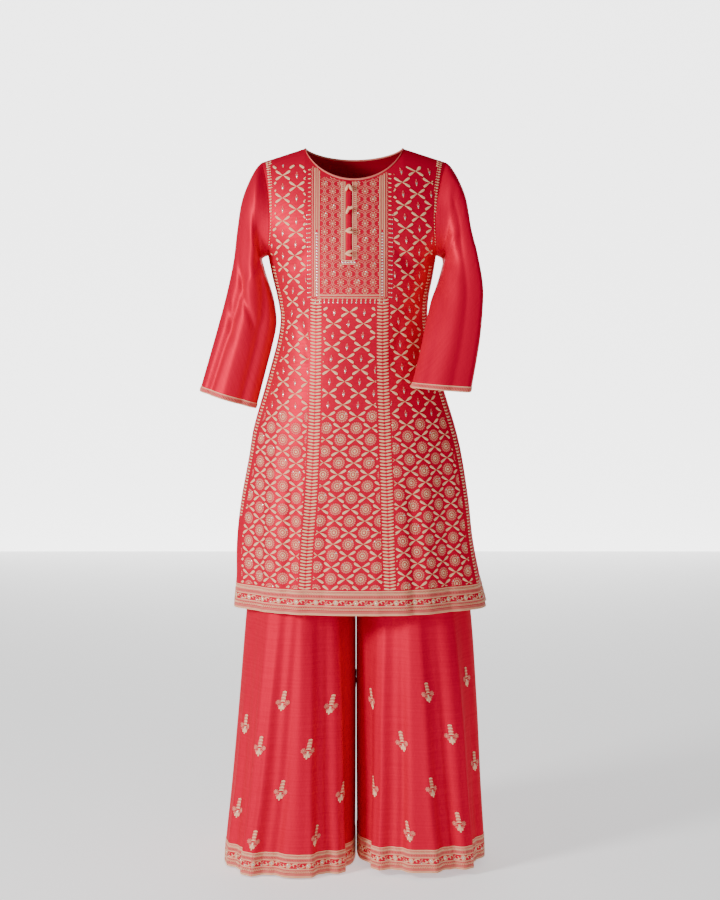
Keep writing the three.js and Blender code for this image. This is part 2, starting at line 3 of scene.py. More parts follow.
import bpy
import numpy as np
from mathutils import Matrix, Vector


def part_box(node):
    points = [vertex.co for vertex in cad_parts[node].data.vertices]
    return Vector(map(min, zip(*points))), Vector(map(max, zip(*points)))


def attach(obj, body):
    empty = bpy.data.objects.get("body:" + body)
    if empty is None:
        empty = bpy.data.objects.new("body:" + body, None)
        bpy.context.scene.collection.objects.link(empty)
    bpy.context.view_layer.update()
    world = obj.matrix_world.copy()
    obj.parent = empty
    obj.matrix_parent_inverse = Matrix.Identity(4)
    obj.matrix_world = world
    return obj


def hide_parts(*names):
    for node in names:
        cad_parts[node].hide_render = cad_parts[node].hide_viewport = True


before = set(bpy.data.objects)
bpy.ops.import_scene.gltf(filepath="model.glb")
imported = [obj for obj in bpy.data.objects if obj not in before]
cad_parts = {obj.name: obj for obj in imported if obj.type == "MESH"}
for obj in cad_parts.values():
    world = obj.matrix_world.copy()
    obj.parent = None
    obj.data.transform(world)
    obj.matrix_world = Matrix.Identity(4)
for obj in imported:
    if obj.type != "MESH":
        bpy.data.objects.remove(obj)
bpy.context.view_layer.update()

# The looks of a sharara suit: an embroidered kurta over a wide two-legged sharara.
# Metres, +Z up, the front faces -Y, the origin is the middle of the shoulder line.
# Every surface repeats the form of its solid, with finer folds placed one by one.

# Cloth
THICKNESS = 0.0011
KURTA_HEM = -0.924
BORDER_TOP = -0.875
UNDERARM = -0.215
SHOULDER_HALF = 0.185
SHOULDER_Z = -0.028
NECK_HALF = 0.098
NECK_FRONT = -0.068
NECK_BACK = -0.024
NECK_ANGLE = 36.0
NECK_ROUND = 1.3
YOKE_BOTTOM = -0.300
CENTRE_FRONT = -0.010
GORE_BAND_HALF = 0.0125
ARMHOLE_BAND = 11.0
ARMHOLE_GAP = 0.0008
SLEEVE_TUCK = 0.0022
ARMHOLE_INSET = {-1: 0.011, 1: 0.009}
UPPER_WIDTH = 0.216
UPPER_POWER = 1.6
KURTA_FOLD_TOP = -0.430
BAND_TOP = -0.445
BAND_BOTTOM = -0.480
BAND_INSET = 0.0021
FORK_TOP = -0.590
FORK = -0.740
LEG_MIDDLE = 0.004
LEG_OPENING = 1.3
LEG_HEM = {-1: -1.444, 1: -1.434}
LEG_BORDER = 0.046
FLOOR = -1.4475

# How finely the cloth is divided: columns round, and rows up or rows in two parts
KURTA_COLUMNS = 181
KURTA_ROWS = (121, 51)
SLEEVE_COLUMNS = 120
SLEEVE_ROWS = 97
LEG_COLUMNS = 151
LEG_ROWS = (101, 31)

# How the cloth's form changes
QUICK_SHARE = 0.85
QUICK_END = 0.5
SLOW_END = 0.55
SEAM_FADE = 14
SHOULDER_FADE = 0.25
TORSO_GAP = 0.00015
INSIDE_FADE = 30
FOLD_RUN = 1.6
LAST_FOLD_END = 9
ARMHOLE_CALM = 1.5

# Sections of the kurta: height, centre, half width, front and back depths, turn of the front
KURTA = np.array([
    [-0.924, 0.013, 0.262, 0.165, 0.165, -4.5],
    [-0.875, 0.009, 0.253, 0.161, 0.161, -4.5],
    [-0.795, 0.002, 0.245, 0.154, 0.154, -3.5],
    [-0.713, 0.002, 0.236, 0.147, 0.146, -3.0],
    [-0.621, 0.003, 0.220, 0.138, 0.136, -3.0],
    [-0.565, 0.001, 0.208, 0.132, 0.129, -3.0],
    [-0.480, 0.000, 0.181, 0.121, 0.117, -3.0],
    [-0.445, 0.000, 0.171, 0.114, 0.110, -3.0],
    [-0.385, 0.000, 0.155, 0.105, 0.099, -3.5],
    [-0.340, 0.000, 0.149, 0.104, 0.094, -3.5],
    [-0.300, -0.002, 0.153, 0.110, 0.096, -3.0],
    [-0.258, -0.003, 0.162, 0.115, 0.100, -2.5],
    [-0.215, -0.004, 0.170, 0.113, 0.103, -2.0],
])
# Gore seams of the front: height, left, right
GORE_SEAM = np.array([
    [-0.924, -0.099, 0.073],
    [-0.870, -0.097, 0.071],
    [-0.785, -0.092, 0.068],
    [-0.680, -0.084, 0.065],
    [-0.540, -0.078, 0.060],
    [-0.430, -0.076, 0.057],
    [-0.300, -0.075, 0.057],
    [0.0, -0.075, 0.057],
])
# Folds of the kurta: angle from the centre front, reach, depth
KURTA_FOLDS = np.array([
    [-31, 8, 0.006], [-50, 9, -0.003], [-70, 9, 0.005], [-88, 8, -0.013],
    [-106, 9, 0.008], [-128, 10, -0.007], [-152, 10, 0.006], [-175, 11, -0.006],
    [160, 11, 0.006], [136, 10, -0.006], [110, 9, 0.009], [89, 8, -0.012],
    [68, 9, 0.006], [46, 9, -0.003], [25, 8, 0.006],
])
# Sections of both legs together: height, left, right, front, back, power, half gap
SHARARA = np.array([
    [-1.444, -0.261, 0.263, 0.182, 0.178, 2.9, 0.0017],
    [-1.395, -0.258, 0.262, 0.178, 0.174, 2.8, 0.0017],
    [-1.291, -0.248, 0.257, 0.168, 0.165, 2.5, 0.0010],
    [-1.121, -0.234, 0.250, 0.152, 0.150, 2.3, 0.0006],
    [-0.924, -0.219, 0.237, 0.129, 0.129, 2.0, 0.0006],
    [-0.740, -0.201, 0.209, 0.113, 0.112, 2.0, 0.0006],
    [-0.590, -0.188, 0.190, 0.116, 0.112, 2.0, 0.0006],
    [-0.480, -0.175, 0.175, 0.113, 0.109, 2.0, 0.0006],
])
# Folds of a leg: angle from the inside leg round the front, reach, depth
LEG_FOLDS = np.array([
    [34, 8, -0.008], [52, 8, 0.009], [69, 7, -0.009], [87, 8, 0.010], [105, 7, -0.010],
    [124, 8, 0.009], [144, 8, -0.009], [166, 9, 0.006], [189, 9, -0.006], [211, 9, 0.007],
    [232, 8, -0.007], [252, 8, 0.007], [273, 8, -0.007], [295, 9, 0.007], [318, 9, -0.006],
])
# Sleeves: x and z of the outer and the inner edge, how far back the middle lies, half depth
SLEEVES = {
    -1: np.array([
        [-0.197, -0.040, -0.186, -0.222, 0.0, 0.062],
        [-0.212, -0.067, -0.186, -0.242, 0.0, 0.063],
        [-0.227, -0.108, -0.176, -0.262, 0.0, 0.063],
        [-0.236, -0.163, -0.167, -0.286, 0.0, 0.061],
        [-0.244, -0.227, -0.160, -0.315, -0.001, 0.058],
        [-0.258, -0.292, -0.157, -0.352, -0.003, 0.054],
        [-0.272, -0.345, -0.165, -0.394, -0.006, 0.050],
        [-0.289, -0.405, -0.178, -0.444, -0.009, 0.046],
        [-0.309, -0.474, -0.195, -0.509, -0.012, 0.042],
        [-0.313, -0.488, -0.199, -0.523, -0.013, 0.042],
    ]),
    1: np.array([
        [0.196, -0.038, 0.178, -0.222, -0.001, 0.062],
        [0.211, -0.063, 0.178, -0.242, -0.004, 0.062],
        [0.226, -0.102, 0.171, -0.262, -0.010, 0.061],
        [0.235, -0.157, 0.164, -0.281, -0.022, 0.058],
        [0.249, -0.219, 0.155, -0.303, -0.044, 0.054],
        [0.257, -0.275, 0.147, -0.332, -0.070, 0.049],
        [0.255, -0.325, 0.139, -0.366, -0.094, 0.046],
        [0.247, -0.390, 0.129, -0.410, -0.121, 0.043],
        [0.232, -0.468, 0.115, -0.461, -0.150, 0.041],
        [0.229, -0.482, 0.112, -0.473, -0.154, 0.041],
    ]),
}
# Creases as soft troughs (depth below 0) and ridges between two ends: x, z, x, z, reach, depth
FRONT_CREASES = np.array([
    [-0.118, -0.600, -0.136, -0.924, 0.010, -0.0050],
    [-0.098, -0.640, -0.108, -0.924, 0.011, 0.0030],
    [-0.052, -0.660, -0.060, -0.905, 0.008, -0.0022],
    [0.110, -0.640, 0.118, -0.924, 0.010, -0.0045],
    [0.138, -0.600, 0.150, -0.924, 0.012, 0.0035],
    [0.040, -0.730, 0.046, -0.924, 0.009, 0.0020],
    [-0.152, -0.560, -0.180, -0.924, 0.011, 0.0040],
    [0.172, -0.560, 0.196, -0.924, 0.010, -0.0040],
    [-0.112, -0.330, -0.090, -0.420, 0.009, -0.0022],
    [0.095, -0.330, 0.080, -0.430, 0.009, -0.0022],
    [-0.150, -0.290, -0.105, -0.325, 0.008, -0.0018],
    [0.142, -0.290, 0.100, -0.322, 0.008, -0.0018],
    [-0.128, -0.250, -0.095, -0.205, 0.010, -0.0025],
    [0.122, -0.250, 0.090, -0.205, 0.010, -0.0025],
])
BACK_CREASES = np.array([
    [-0.090, -0.560, -0.100, -0.924, 0.012, -0.0045],
    [-0.020, -0.600, -0.022, -0.924, 0.012, 0.0035],
    [0.060, -0.600, 0.066, -0.924, 0.012, -0.0045],
    [0.130, -0.560, 0.142, -0.924, 0.012, 0.0040],
    [-0.160, -0.560, -0.180, -0.924, 0.012, 0.0040],
    [-0.080, -0.330, -0.060, -0.420, 0.010, -0.0025],
    [0.080, -0.330, 0.060, -0.420, 0.010, -0.0025],
    [-0.120, -0.180, -0.070, -0.240, 0.012, -0.0020],
    [0.120, -0.180, 0.070, -0.240, 0.012, -0.0020],
])


# Plain maths

def smooth(x):
    """Smooth step of x held between 0 and 1: 3x squared less 2x cubed."""
    x = np.clip(x, 0, 1)
    return x * x * (3 - 2 * x)


def unit(vectors):
    """Vectors divided by their lengths."""
    return vectors / np.maximum(np.linalg.norm(vectors, axis=-1, keepdims=True), 1e-12)


def row_at(table, z):
    """Values of a table at the heights z, by a cubic curve through the rows on either side."""
    z = np.asarray(z, float)
    last = len(table) - 1
    i = np.clip(np.searchsorted(table[:, 0], z) - 1, 0, last - 1)
    low, high = table[i], table[i + 1]
    before, after = table[np.maximum(i - 1, 0)], table[np.minimum(i + 2, last)]
    step = high[..., :1] - low[..., :1]
    f = np.clip((z[..., None] - low[..., :1]) / step, 0, 1)
    slope_low = (high - before) / (high[..., :1] - before[..., :1])
    slope_high = (after - low) / (after[..., :1] - low[..., :1])
    values = (2 * f**3 - 3 * f**2 + 1) * low + (f**3 - 2 * f**2 + f) * step * slope_low
    values += (3 * f**2 - 2 * f**3) * high + (f**3 - f**2) * step * slope_high
    return np.moveaxis(values[..., 1:], -1, 0)


def fold_depth(folds, angle):
    """Sum of soft ridges and troughs round a ring: depth times exp of -(distance / reach)^2."""
    away = (np.asarray(angle)[..., None] - folds[:, 0] + 540) % 360 - 180
    return (folds[:, 2] * np.exp(-((away / folds[:, 1]) ** 2))).sum(-1)


def crease_depth(creases, across, along):
    """Sum of creases at flat places: depth times exp of -(distance to the line / reach)^2."""
    total = np.zeros(np.shape(across))
    for x0, z0, x1, z1, reach, deep in creases:
        dx, dz = x1 - x0, z1 - z0
        f = np.clip(((across - x0) * dx + (along - z0) * dz) / (dx * dx + dz * dz), 0, 1)
        gap = np.hypot(across - x0 - f * dx, along - z0 - f * dz)
        total += deep * np.exp(-((gap / reach) ** 2)) * smooth(3 * f + 0.1)
    return total


# Surfaces

def neck_or_shoulder(face, angle):
    """Where each column of the kurta ends: x and z on the neck edge or the shoulder seam."""
    lean = np.abs(angle)
    side = np.sign(angle)
    drop = NECK_FRONT if face < 0 else NECK_BACK
    quarter = np.radians(90 * np.clip(angle / NECK_ANGLE, -1, 1))
    edge = np.clip((lean - NECK_ANGLE) / (90 - NECK_ANGLE), 0, 1)
    shoulder = lean >= NECK_ANGLE
    x = np.where(shoulder, side * (NECK_HALF + (SHOULDER_HALF - NECK_HALF) * edge),
                 NECK_HALF * np.sin(quarter))
    z = np.where(shoulder, SHOULDER_Z * edge, drop * np.cos(quarter) ** NECK_ROUND)
    return x, z, edge


def kurta(face, angle, rise):
    """The kurta's surface. face is -1 in front and 1 behind, angle runs from -90 at the left
    side seam to 90 at the right one, rise from 0 at the hem through 1 at the underarm to 2 at
    the shoulder seam and neck edge. Below the underarm each level section is half an ellipse,
    above it each column runs straight up while the depth dies away to the seam."""
    angle, rise = np.broadcast_arrays(np.asarray(angle, float), np.asarray(rise, float))
    z_low = KURTA_HEM + (UNDERARM - KURTA_HEM) * np.clip(rise, 0, 1)
    centre, half, front, back, turn = row_at(KURTA, z_low)
    deep = front if face < 0 else back
    theta = np.radians(angle - face * turn * np.cos(np.radians(angle)))
    out_x = np.sin(theta) / half
    out_y = face * np.cos(theta) / deep
    length = np.hypot(out_x, out_y)
    around = angle if face < 0 else 180 - angle
    open_ = smooth((KURTA_FOLD_TOP - z_low) / (KURTA_FOLD_TOP - KURTA_HEM))
    push = open_ * fold_depth(KURTA_FOLDS, around)
    start_x = centre + half * np.sin(theta)
    creases = FRONT_CREASES if face < 0 else BACK_CREASES
    seam_fade = smooth((90 - np.abs(angle)) / SEAM_FADE)
    low = np.stack([start_x, face * deep * np.cos(theta), z_low], -1)

    t = np.clip(rise - 1, 0, 1)
    end_x, end_z, edge = neck_or_shoulder(face, angle)
    x = start_x + (end_x - start_x) * t
    x = x - np.sign(angle) * ARMHOLE_INSET[face] * np.sin(np.pi * t) * edge**2
    z = UNDERARM + (end_z - UNDERARM) * t
    slope = np.clip((np.abs(x) - NECK_HALF) / (SHOULDER_HALF - NECK_HALF), 0, 1)
    climb = np.clip((z - UNDERARM) / (SHOULDER_Z * slope - UNDERARM), 0, 1)
    quick = 1 - (1 - np.clip(t / QUICK_END, 0, 1)) ** 2
    widen = (1 - QUICK_SHARE) * smooth(t / SLOW_END) + QUICK_SHARE * quick
    width = half + (UPPER_WIDTH - half) * widen
    reach = np.sqrt(np.clip(1 - ((x - centre * (1 - t)) / width) ** 2, 0, 1))
    high = np.stack([x, face * deep * reach * np.sqrt(1 - climb**UPPER_POWER), z], -1)

    point = np.where((rise > 1)[..., None], high, low)
    top_fade = smooth((2 - rise) / SHOULDER_FADE)
    crease = crease_depth(creases, point[..., 0], point[..., 2]) * seam_fade * top_fade
    push = np.where(rise > 1, 0, push) + crease
    point[..., 0] += push * out_x / length
    point[..., 1] += push * out_y / length
    return point


def leg(side, turn, z):
    """A leg's surface. turn runs from 0 at the inside leg round the front to 180 at the side
    seam and on round the back to 360. Above the fork it is half a torso, below it a tube."""
    turn, z = np.broadcast_arrays(np.asarray(turn, float), np.asarray(z, float))
    left, right, front, back, squareness, gap = row_at(SHARARA, z)
    beta = np.radians(turn)
    deep = np.where(turn <= 180, front, back)
    centre = (left + right) / 2
    half = (right - left) / 2
    torso = np.stack([(centre + side * half) * np.sin(beta / 2) + side * TORSO_GAP,
                      -deep * np.cos(beta / 2), z], -1)
    far = left if side < 0 else right
    near = LEG_MIDDLE + side * gap
    across = (far - near) / 2
    bow_x = np.sign(np.cos(beta)) * np.abs(np.cos(beta)) ** (2 / squareness)
    bow_y = np.sign(np.sin(beta)) * np.abs(np.sin(beta)) ** (2 / squareness)
    tube = np.stack([(near + far) / 2 - across * bow_x, -deep * bow_y, z], -1)
    parted = smooth((FORK_TOP - z) / (FORK_TOP - FORK))[..., None]
    point = torso + (tube - torso) * parted
    open_ = np.clip((FORK_TOP - z) / (FORK_TOP - SHARARA[0, 0]), 0, 1) ** LEG_OPENING
    inside = 1 - smooth(1 - np.abs((turn + 180) % 360 - 180) / INSIDE_FADE)
    push = open_ * inside * fold_depth(LEG_FOLDS, turn)
    push = push + inside * small_leg_folds(side, turn, z)
    point[..., 0] += -side * np.cos(beta) * push
    point[..., 1] += -np.sin(beta) * push
    return point


# Small folds of a leg: side, turn and height of the lower end, turn and height of the upper
# end, reach in degrees, depth
SMALL_LEG_FOLDS = [
    [-1, 43, -1.444, 49, -0.800, 4.2, 0.0085], [-1, 60, -1.444, 61, -0.780, 4.2, -0.0100],
    [-1, 78, -1.444, 77, -0.860, 3.8, 0.0080], [-1, 96, -1.444, 91, -0.760, 4.2, -0.0110],
    [-1, 114, -1.444, 109, -0.800, 4.2, 0.0095], [-1, 134, -1.444, 128, -0.800, 4.2, -0.0090],
    [-1, 154, -1.444, 150, -0.900, 4.5, 0.0060], [-1, 221, -1.444, 222, -0.900, 5.0, -0.0060],
    [-1, 262, -1.444, 261, -0.860, 5.0, 0.0060], [-1, 284, -1.444, 286, -0.960, 4.5, -0.0060],
    [1, 42, -1.434, 47, -0.880, 4.2, -0.0080], [1, 61, -1.434, 60, -0.780, 4.2, 0.0095],
    [1, 79, -1.434, 77, -0.820, 4.2, -0.0100], [1, 97, -1.434, 92, -0.760, 4.2, 0.0100],
    [1, 115, -1.434, 110, -0.800, 4.2, -0.0105], [1, 133, -1.434, 129, -0.780, 4.2, 0.0085],
    [1, 155, -1.434, 150, -0.920, 4.5, -0.0060], [1, 200, -1.434, 201, -0.880, 5.0, 0.0060],
    [1, 243, -1.434, 241, -0.940, 5.0, -0.0060], [1, 305, -1.434, 303, -0.880, 5.0, 0.0060],
]


def small_leg_folds(side, turn, z):
    """Narrow folds that fan out near the hem, each fading out upwards along its own line."""
    total = np.zeros(turn.shape)
    for which, low_turn, low_z, high_turn, high_z, reach, deep in SMALL_LEG_FOLDS:
        if which != side:
            continue
        f = np.clip((z - low_z) / (high_z - low_z), 0, 1)
        away = turn - (low_turn + (high_turn - low_turn) * f)
        total += deep * np.exp(-((away / reach) ** 2)) * smooth(1 - f)
    return total


def sleeve_ring(side, phi):
    """The armhole edge that a sleeve is set in, at angles phi round from its top: the kurta's
    own side columns, a little outwards."""
    rise = 1 + (1 + np.cos(phi)) / 2
    front = kurta(-1, np.full(phi.shape, side * 90.0), rise)
    back = kurta(1, np.full(phi.shape, side * 90.0), rise)
    ring = np.where((phi <= np.pi)[..., None], front, back)
    ring[..., 0] += side * ARMHOLE_GAP
    return ring


# Folds of the sleeves: ends as angle from the top round the front and station from the
# armhole, reach in degrees, depth, and 1 where the fold is a pressed edge
SLEEVE_FOLDS = {
    -1: [
        [62, 5.2, 44, 10, 10, -0.0065, 0], [118, 4.0, 122, 9.6, 11, -0.0070, 0],
        [86, 2.5, 84, 10, 14, 0.0055, 0], [34, 4.6, 104, 6.6, 9, -0.0055, 0],
        [150, 1.0, 96, 4.2, 12, -0.0055, 0], [140, 3.2, 70, 5.4, 9, 0.0040, 0],
        [20, 5.8, 66, 7.4, 9, -0.0030, 0], [240, 3.0, 250, 9.5, 16, -0.0045, 0],
        [292, 4.0, 286, 10, 14, 0.0040, 0],
    ],
    1: [
        [40, 1.5, 44, 10, 27, 0.0125, 1], [158, 0.9, 92, 4.4, 12, -0.0070, 0],
        [170, 1.6, 118, 5.6, 10, -0.0060, 0], [150, 0.8, 84, 3.2, 10, 0.0035, 0],
        [120, 5.5, 124, 10, 14, -0.0030, 0], [84, 5.0, 88, 9.8, 13, 0.0020, 0],
        [230, 3.0, 240, 9.5, 16, -0.0045, 0], [290, 4.0, 284, 10, 14, 0.0040, 0],
    ],
}


def sleeve(side, phi, station):
    """A sleeve's surface. phi is the angle from the top of the ring round the front, station
    runs from 0 at the armhole to 10 at the cuff. Rings are ellipses through the table's outer
    and inner edges, joined along the sleeve by a curve through four rings."""
    table = SLEEVES[side]
    phi, station = np.broadcast_arrays(np.asarray(phi, float), np.asarray(station, float))
    angle = np.radians(phi)

    def ring(index):
        row = table[np.clip(index - 1, 0, len(table) - 1)]
        outer = np.stack([row[..., 0], row[..., 4], row[..., 1]], -1)
        inner = np.stack([row[..., 2], row[..., 4], row[..., 3]], -1)
        point = (outer + inner) / 2 + (outer - inner) / 2 * np.cos(angle)[..., None]
        point[..., 1] -= row[..., 5] * np.sin(angle)
        return np.where((index <= 0)[..., None], sleeve_ring(side, angle), point)

    low = np.clip(np.floor(station).astype(int), 0, len(table) - 1)
    f = (station - low)[..., None]
    p0, p1 = ring(np.maximum(low - 1, 0)), ring(low)
    p2, p3 = ring(low + 1), ring(np.minimum(low + 2, len(table)))
    point = p1 + 0.5 * f * (p2 - p0 + f * (2 * p0 - 5 * p1 + 4 * p2 - p3
                                            + f * (3 * (p1 - p2) + p3 - p0)))
    row = table[np.clip(np.round(station).astype(int) - 1, 0, len(table) - 1)]
    lift = unit(np.stack([row[..., 0] - row[..., 2], 0 * f[..., 0], row[..., 1] - row[..., 3]], -1))
    out = lift * np.cos(angle)[..., None]
    out[..., 1] -= np.sin(angle)
    total = np.zeros(phi.shape)
    for phi0, s0, phi1, s1, reach, deep, pressed in SLEEVE_FOLDS[side]:
        g = np.clip((station - s0) / (s1 - s0), 0, 1)
        away = np.abs((phi - phi0 - (phi1 - phi0) * g + 540) % 360 - 180) / reach
        shape = np.clip(1 - away, 0, 1) if pressed else np.exp(-(away**2))
        ends = smooth((station - s0) / FOLD_RUN + 0.5)
        if s1 <= LAST_FOLD_END:
            ends = ends * smooth((s1 - station) / FOLD_RUN + 0.5)
        total += deep * shape * ends
    return point + out * (total * smooth(station / ARMHOLE_CALM))[..., None]


# Meshes

def grid_faces(rows, columns, closed=False):
    """Four corners of each face of a grid, row by row."""
    across = columns if closed else columns - 1
    r, c = np.meshgrid(np.arange(rows - 1), np.arange(across), indexing="ij")
    a = r * columns + c
    b = r * columns + (c + 1) % columns
    return np.stack([a, b, b + columns, a + columns], -1).reshape(-1, 4)


def grid_normals(points, closed=False):
    """Outward directions of a grid: across times up, from the points on either side."""
    if closed:
        across = np.roll(points, -1, 1) - np.roll(points, 1, 1)
    else:
        across = np.gradient(points, axis=1)
    return unit(np.cross(across, np.gradient(points, axis=0)))


def mesh_piece(name, points, faces, kinds=None, uv=None, material=()):
    """A mesh object from arrays of points and four-cornered faces."""
    mesh = bpy.data.meshes.new(name)
    faces = np.ascontiguousarray(faces, dtype=np.int32)
    mesh.vertices.add(len(points))
    mesh.vertices.foreach_set("co", np.ascontiguousarray(points, dtype=np.float32).ravel())
    mesh.loops.add(faces.size)
    mesh.loops.foreach_set("vertex_index", faces.ravel())
    mesh.polygons.add(len(faces))
    mesh.polygons.foreach_set("loop_start", np.arange(0, faces.size, 4, dtype=np.int32))
    for one in material:
        mesh.materials.append(one)
    if kinds is not None:
        mesh.polygons.foreach_set("material_index", np.asarray(kinds, dtype=np.int32))
    mesh.polygons.foreach_set("use_smooth", np.full(len(faces), True))
    if uv is not None:
        layer = mesh.uv_layers.new(name="UVMap")
        layer.data.foreach_set("uv", np.asarray(uv, dtype=np.float32)[faces.ravel()].ravel())
    mesh.update(calc_edges=True)
    piece = bpy.data.objects.new(name, mesh)
    bpy.context.scene.collection.objects.link(piece)
    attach(piece, "root")
    return piece


def cloth(name, points, material, outward, replaced, closed=False, thickness=THICKNESS):
    """A thin shell on a grid: the outer face, the inner face and the rims. outward is 1 where across
    times up already points out."""
    rows, columns = points.shape[:2]
    out = grid_normals(points, closed) * outward
    shell = np.concatenate([points.reshape(-1, 3), (points - out * thickness).reshape(-1, 3)])
    outer = grid_faces(rows, columns, closed)
    count = rows * columns
    inner = outer[:, ::-1] + count
    rims = []
    around = columns if closed else columns - 1
    c = np.arange(around)
    d = (c + 1) % columns
    rims.append(np.stack([c + count, d + count, d, c], -1))
    top = (rows - 1) * columns
    rims.append(np.stack([top + c, top + d, top + d + count, top + c + count], -1))
    if not closed:
        r = np.arange(rows - 1) * columns
        rims.append(np.stack([r + count, r, r + columns, r + columns + count], -1))
        r = r + columns - 1
        rims.append(np.stack([r, r + count, r + columns + count, r + columns], -1))
    faces = np.concatenate([outer, inner] + rims)
    if outward < 0:
        faces = faces[:, ::-1]
    u_steps = np.linalg.norm(np.diff(points, axis=1), axis=2)
    v_steps = np.linalg.norm(np.diff(points, axis=0), axis=2)
    u = np.concatenate([np.zeros((rows, 1)), u_steps.cumsum(1)], 1)
    v = np.concatenate([np.zeros((1, columns)), v_steps.cumsum(0)])
    uv = np.stack([u - u[:, columns // 2:columns // 2 + 1], v], -1).reshape(-1, 2)
    piece = mesh_piece(name, shell, faces, uv=np.concatenate([uv, uv]), material=[material])
    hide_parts(*replaced)


# Materials

class Field:
    """A value in a shader tree, so that shader maths reads as plain arithmetic."""

    def __init__(self, tree, socket):
        self.tree = tree
        self.socket = socket

    def math(self, operation, *terms):
        """The result of one operation on values of the tree and numbers."""
        node = self.tree.nodes.new("ShaderNodeMath")
        node.operation = operation
        for slot, term in enumerate(terms):
            if isinstance(term, Field):
                self.tree.links.new(term.socket, node.inputs[slot])
            else:
                node.inputs[slot].default_value = term
        return Field(self.tree, node.outputs[0])

    def __add__(self, other):
        return self.math("ADD", self, other)

    def __sub__(self, other):
        return self.math("SUBTRACT", self, other)

    def __rsub__(self, other):
        return self.math("SUBTRACT", other, self)

    def __mul__(self, other):
        return self.math("MULTIPLY", self, other)

    __radd__ = __add__
    __rmul__ = __mul__

    def node(self, kind, output, settings=None, **inputs):
        """One of the node's outputs, with its inputs named with _ for a space."""
        node = self.tree.nodes.new(kind)
        for key, value in (settings or {}).items():
            setattr(node, key, value)
        for key, value in inputs.items():
            slot = node.inputs[key.replace("_", " ")]
            if isinstance(value, Field):
                self.tree.links.new(value.socket, slot)
            else:
                slot.default_value = value
        return Field(self.tree, node.outputs[output])


def new_material(name, **constants):
    """A material with a plain principled shader: the shader and a field of object places."""
    material = bpy.data.materials.new(name)
    material.use_nodes = True
    shader = material.node_tree.nodes["Principled BSDF"]
    for key, value in constants.items():
        shader.inputs[key.replace("_", " ")].default_value = value
    places = material.node_tree.nodes.new("ShaderNodeTexCoord")
    return material, shader, places


def link_shader(shader, place, factor, colours, roughness, height, strength, distance):
    """Links a mix of two colours, a roughness and bumps of a height to a shader."""
    tree = place.tree
    mixer = place.node("ShaderNodeMix", "Result", {"data_type": "RGBA"}).socket.node
    tree.links.new(factor.socket, mixer.inputs["Factor"])
    mixer.inputs[6].default_value = (*colours[0], 1.0)
    mixer.inputs[7].default_value = (*colours[1], 1.0)
    tree.links.new(mixer.outputs[2], shader.inputs["Base Color"])
    tree.links.new(roughness.socket, shader.inputs["Roughness"])
    bump = place.node("ShaderNodeBump", "Normal", Height=height, Strength=strength,
                      Distance=distance)
    tree.links.new(bump.socket, shader.inputs["Normal"])


def silk_material(name, light, deep, roughness):
    """Satin silk: a fine slub of uneven threads that run across, a soft sheen."""
    material, shader, places = new_material(name, Specular_IOR_Level=0.05, Metallic=0.38,
                                            Specular_Tint=(1.0, 0.10, 0.16, 1.0))
    place = Field(material.node_tree, places.outputs["UV"])
    along = place.node("ShaderNodeMapping", "Vector", Vector=place, Scale=(26.0, 1500.0, 1.0))
    thread = place.node("ShaderNodeTexNoise", 0, Vector=along, Scale=1.0, Detail=2.0)
    wide = place.node("ShaderNodeMapping", "Vector", Vector=place, Scale=(9.0, 260.0, 1.0))
    slub = place.node("ShaderNodeTexNoise", 0, Vector=wide, Scale=1.0, Detail=3.0)
    depth = place.node("ShaderNodeMapRange", "Result", Value=slub * 0.6 + thread * 0.4,
                       From_Min=0.34, From_Max=0.68)
    link_shader(shader, place, depth, (light, deep), depth * 0.10 + roughness,
                thread * 0.7 + slub * 0.6, strength=0.16, distance=0.0006)
    return material


def thread_material(name, light, deep, roughness, sheen):
    """Embroidery thread: fine stitches side by side across each stroke. The colour is painted shade in
    the grooves between the stitches and lighter on their crowns, mixed with patches of uneven thread
    tone.
    """
    material, shader, places = new_material(name, Specular_IOR_Level=0.5, Sheen_Weight=sheen,
                                            Sheen_Roughness=0.4)
    place = Field(material.node_tree, places.outputs["UV"])
    wave = place.node("ShaderNodeTexWave", 0, {"bands_direction": "X"}, Vector=place,
                      Scale=340.0, Distortion=0.6, Detail=1.0)
    object_place = Field(material.node_tree, places.outputs["Object"])
    patch = place.node("ShaderNodeTexNoise", 0, Vector=object_place, Scale=420.0, Detail=2.0)
    # The colour follows the stitch ridges of the bumps, so the grooves get painted shade and the crowns
    # the lighter colour; the noise patches are the thread's own uneven tone.
    link_shader(shader, place, wave * 0.45 + patch * 0.55, (deep, light), patch * 0.2 + roughness,
                wave, strength=0.35, distance=0.0003)
    return material


def plain_material(name, colour, **constants):
    """One flat colour with constants of the principled shader."""
    material, shader, _ = new_material(name, **constants)
    shader.inputs["Base Color"].default_value = (*colour, 1.0)
    return material


SILK = silk_material("red_silk", (0.71, 0.0, 0.040), (0.63, 0.0, 0.033), 0.46)
LINING = silk_material("red_silk_inside", (0.52, 0.0, 0.026), (0.46, 0.0, 0.021), 0.55)
CREAM = thread_material("cream_thread", (0.97, 0.64, 0.36), (0.90, 0.42, 0.24), 0.38, 0.10)
ROSY = thread_material("rosy_thread", (0.88, 0.25, 0.18), (0.68, 0.10, 0.08), 0.45, 0.05)
SEQUIN = plain_material("sequins", (0.95, 0.88, 0.80), Metallic=0.75, Roughness=0.22)

# Pieces of cloth

def kurta_points(face):
    """Points of one side of the kurta, from the hem up, closer together near the shoulder."""
    angles = np.linspace(-90, 90, KURTA_COLUMNS)
    lower = np.linspace(0, 1, KURTA_ROWS[0])
    upper = 1 + (1 - np.cos(np.pi * np.linspace(0, 1, KURTA_ROWS[1]))) / 2
    rises = np.concatenate([lower, upper[1:]])
    return kurta(face, angles[None, :], rises[:, None])


cloth("kurta_front_cloth", kurta_points(-1), SILK, 1,
      ["kurta_front_centre", "kurta_front_left", "kurta_front_right"])
cloth("kurta_back_cloth", kurta_points(1), SILK, -1, ["kurta_back"])

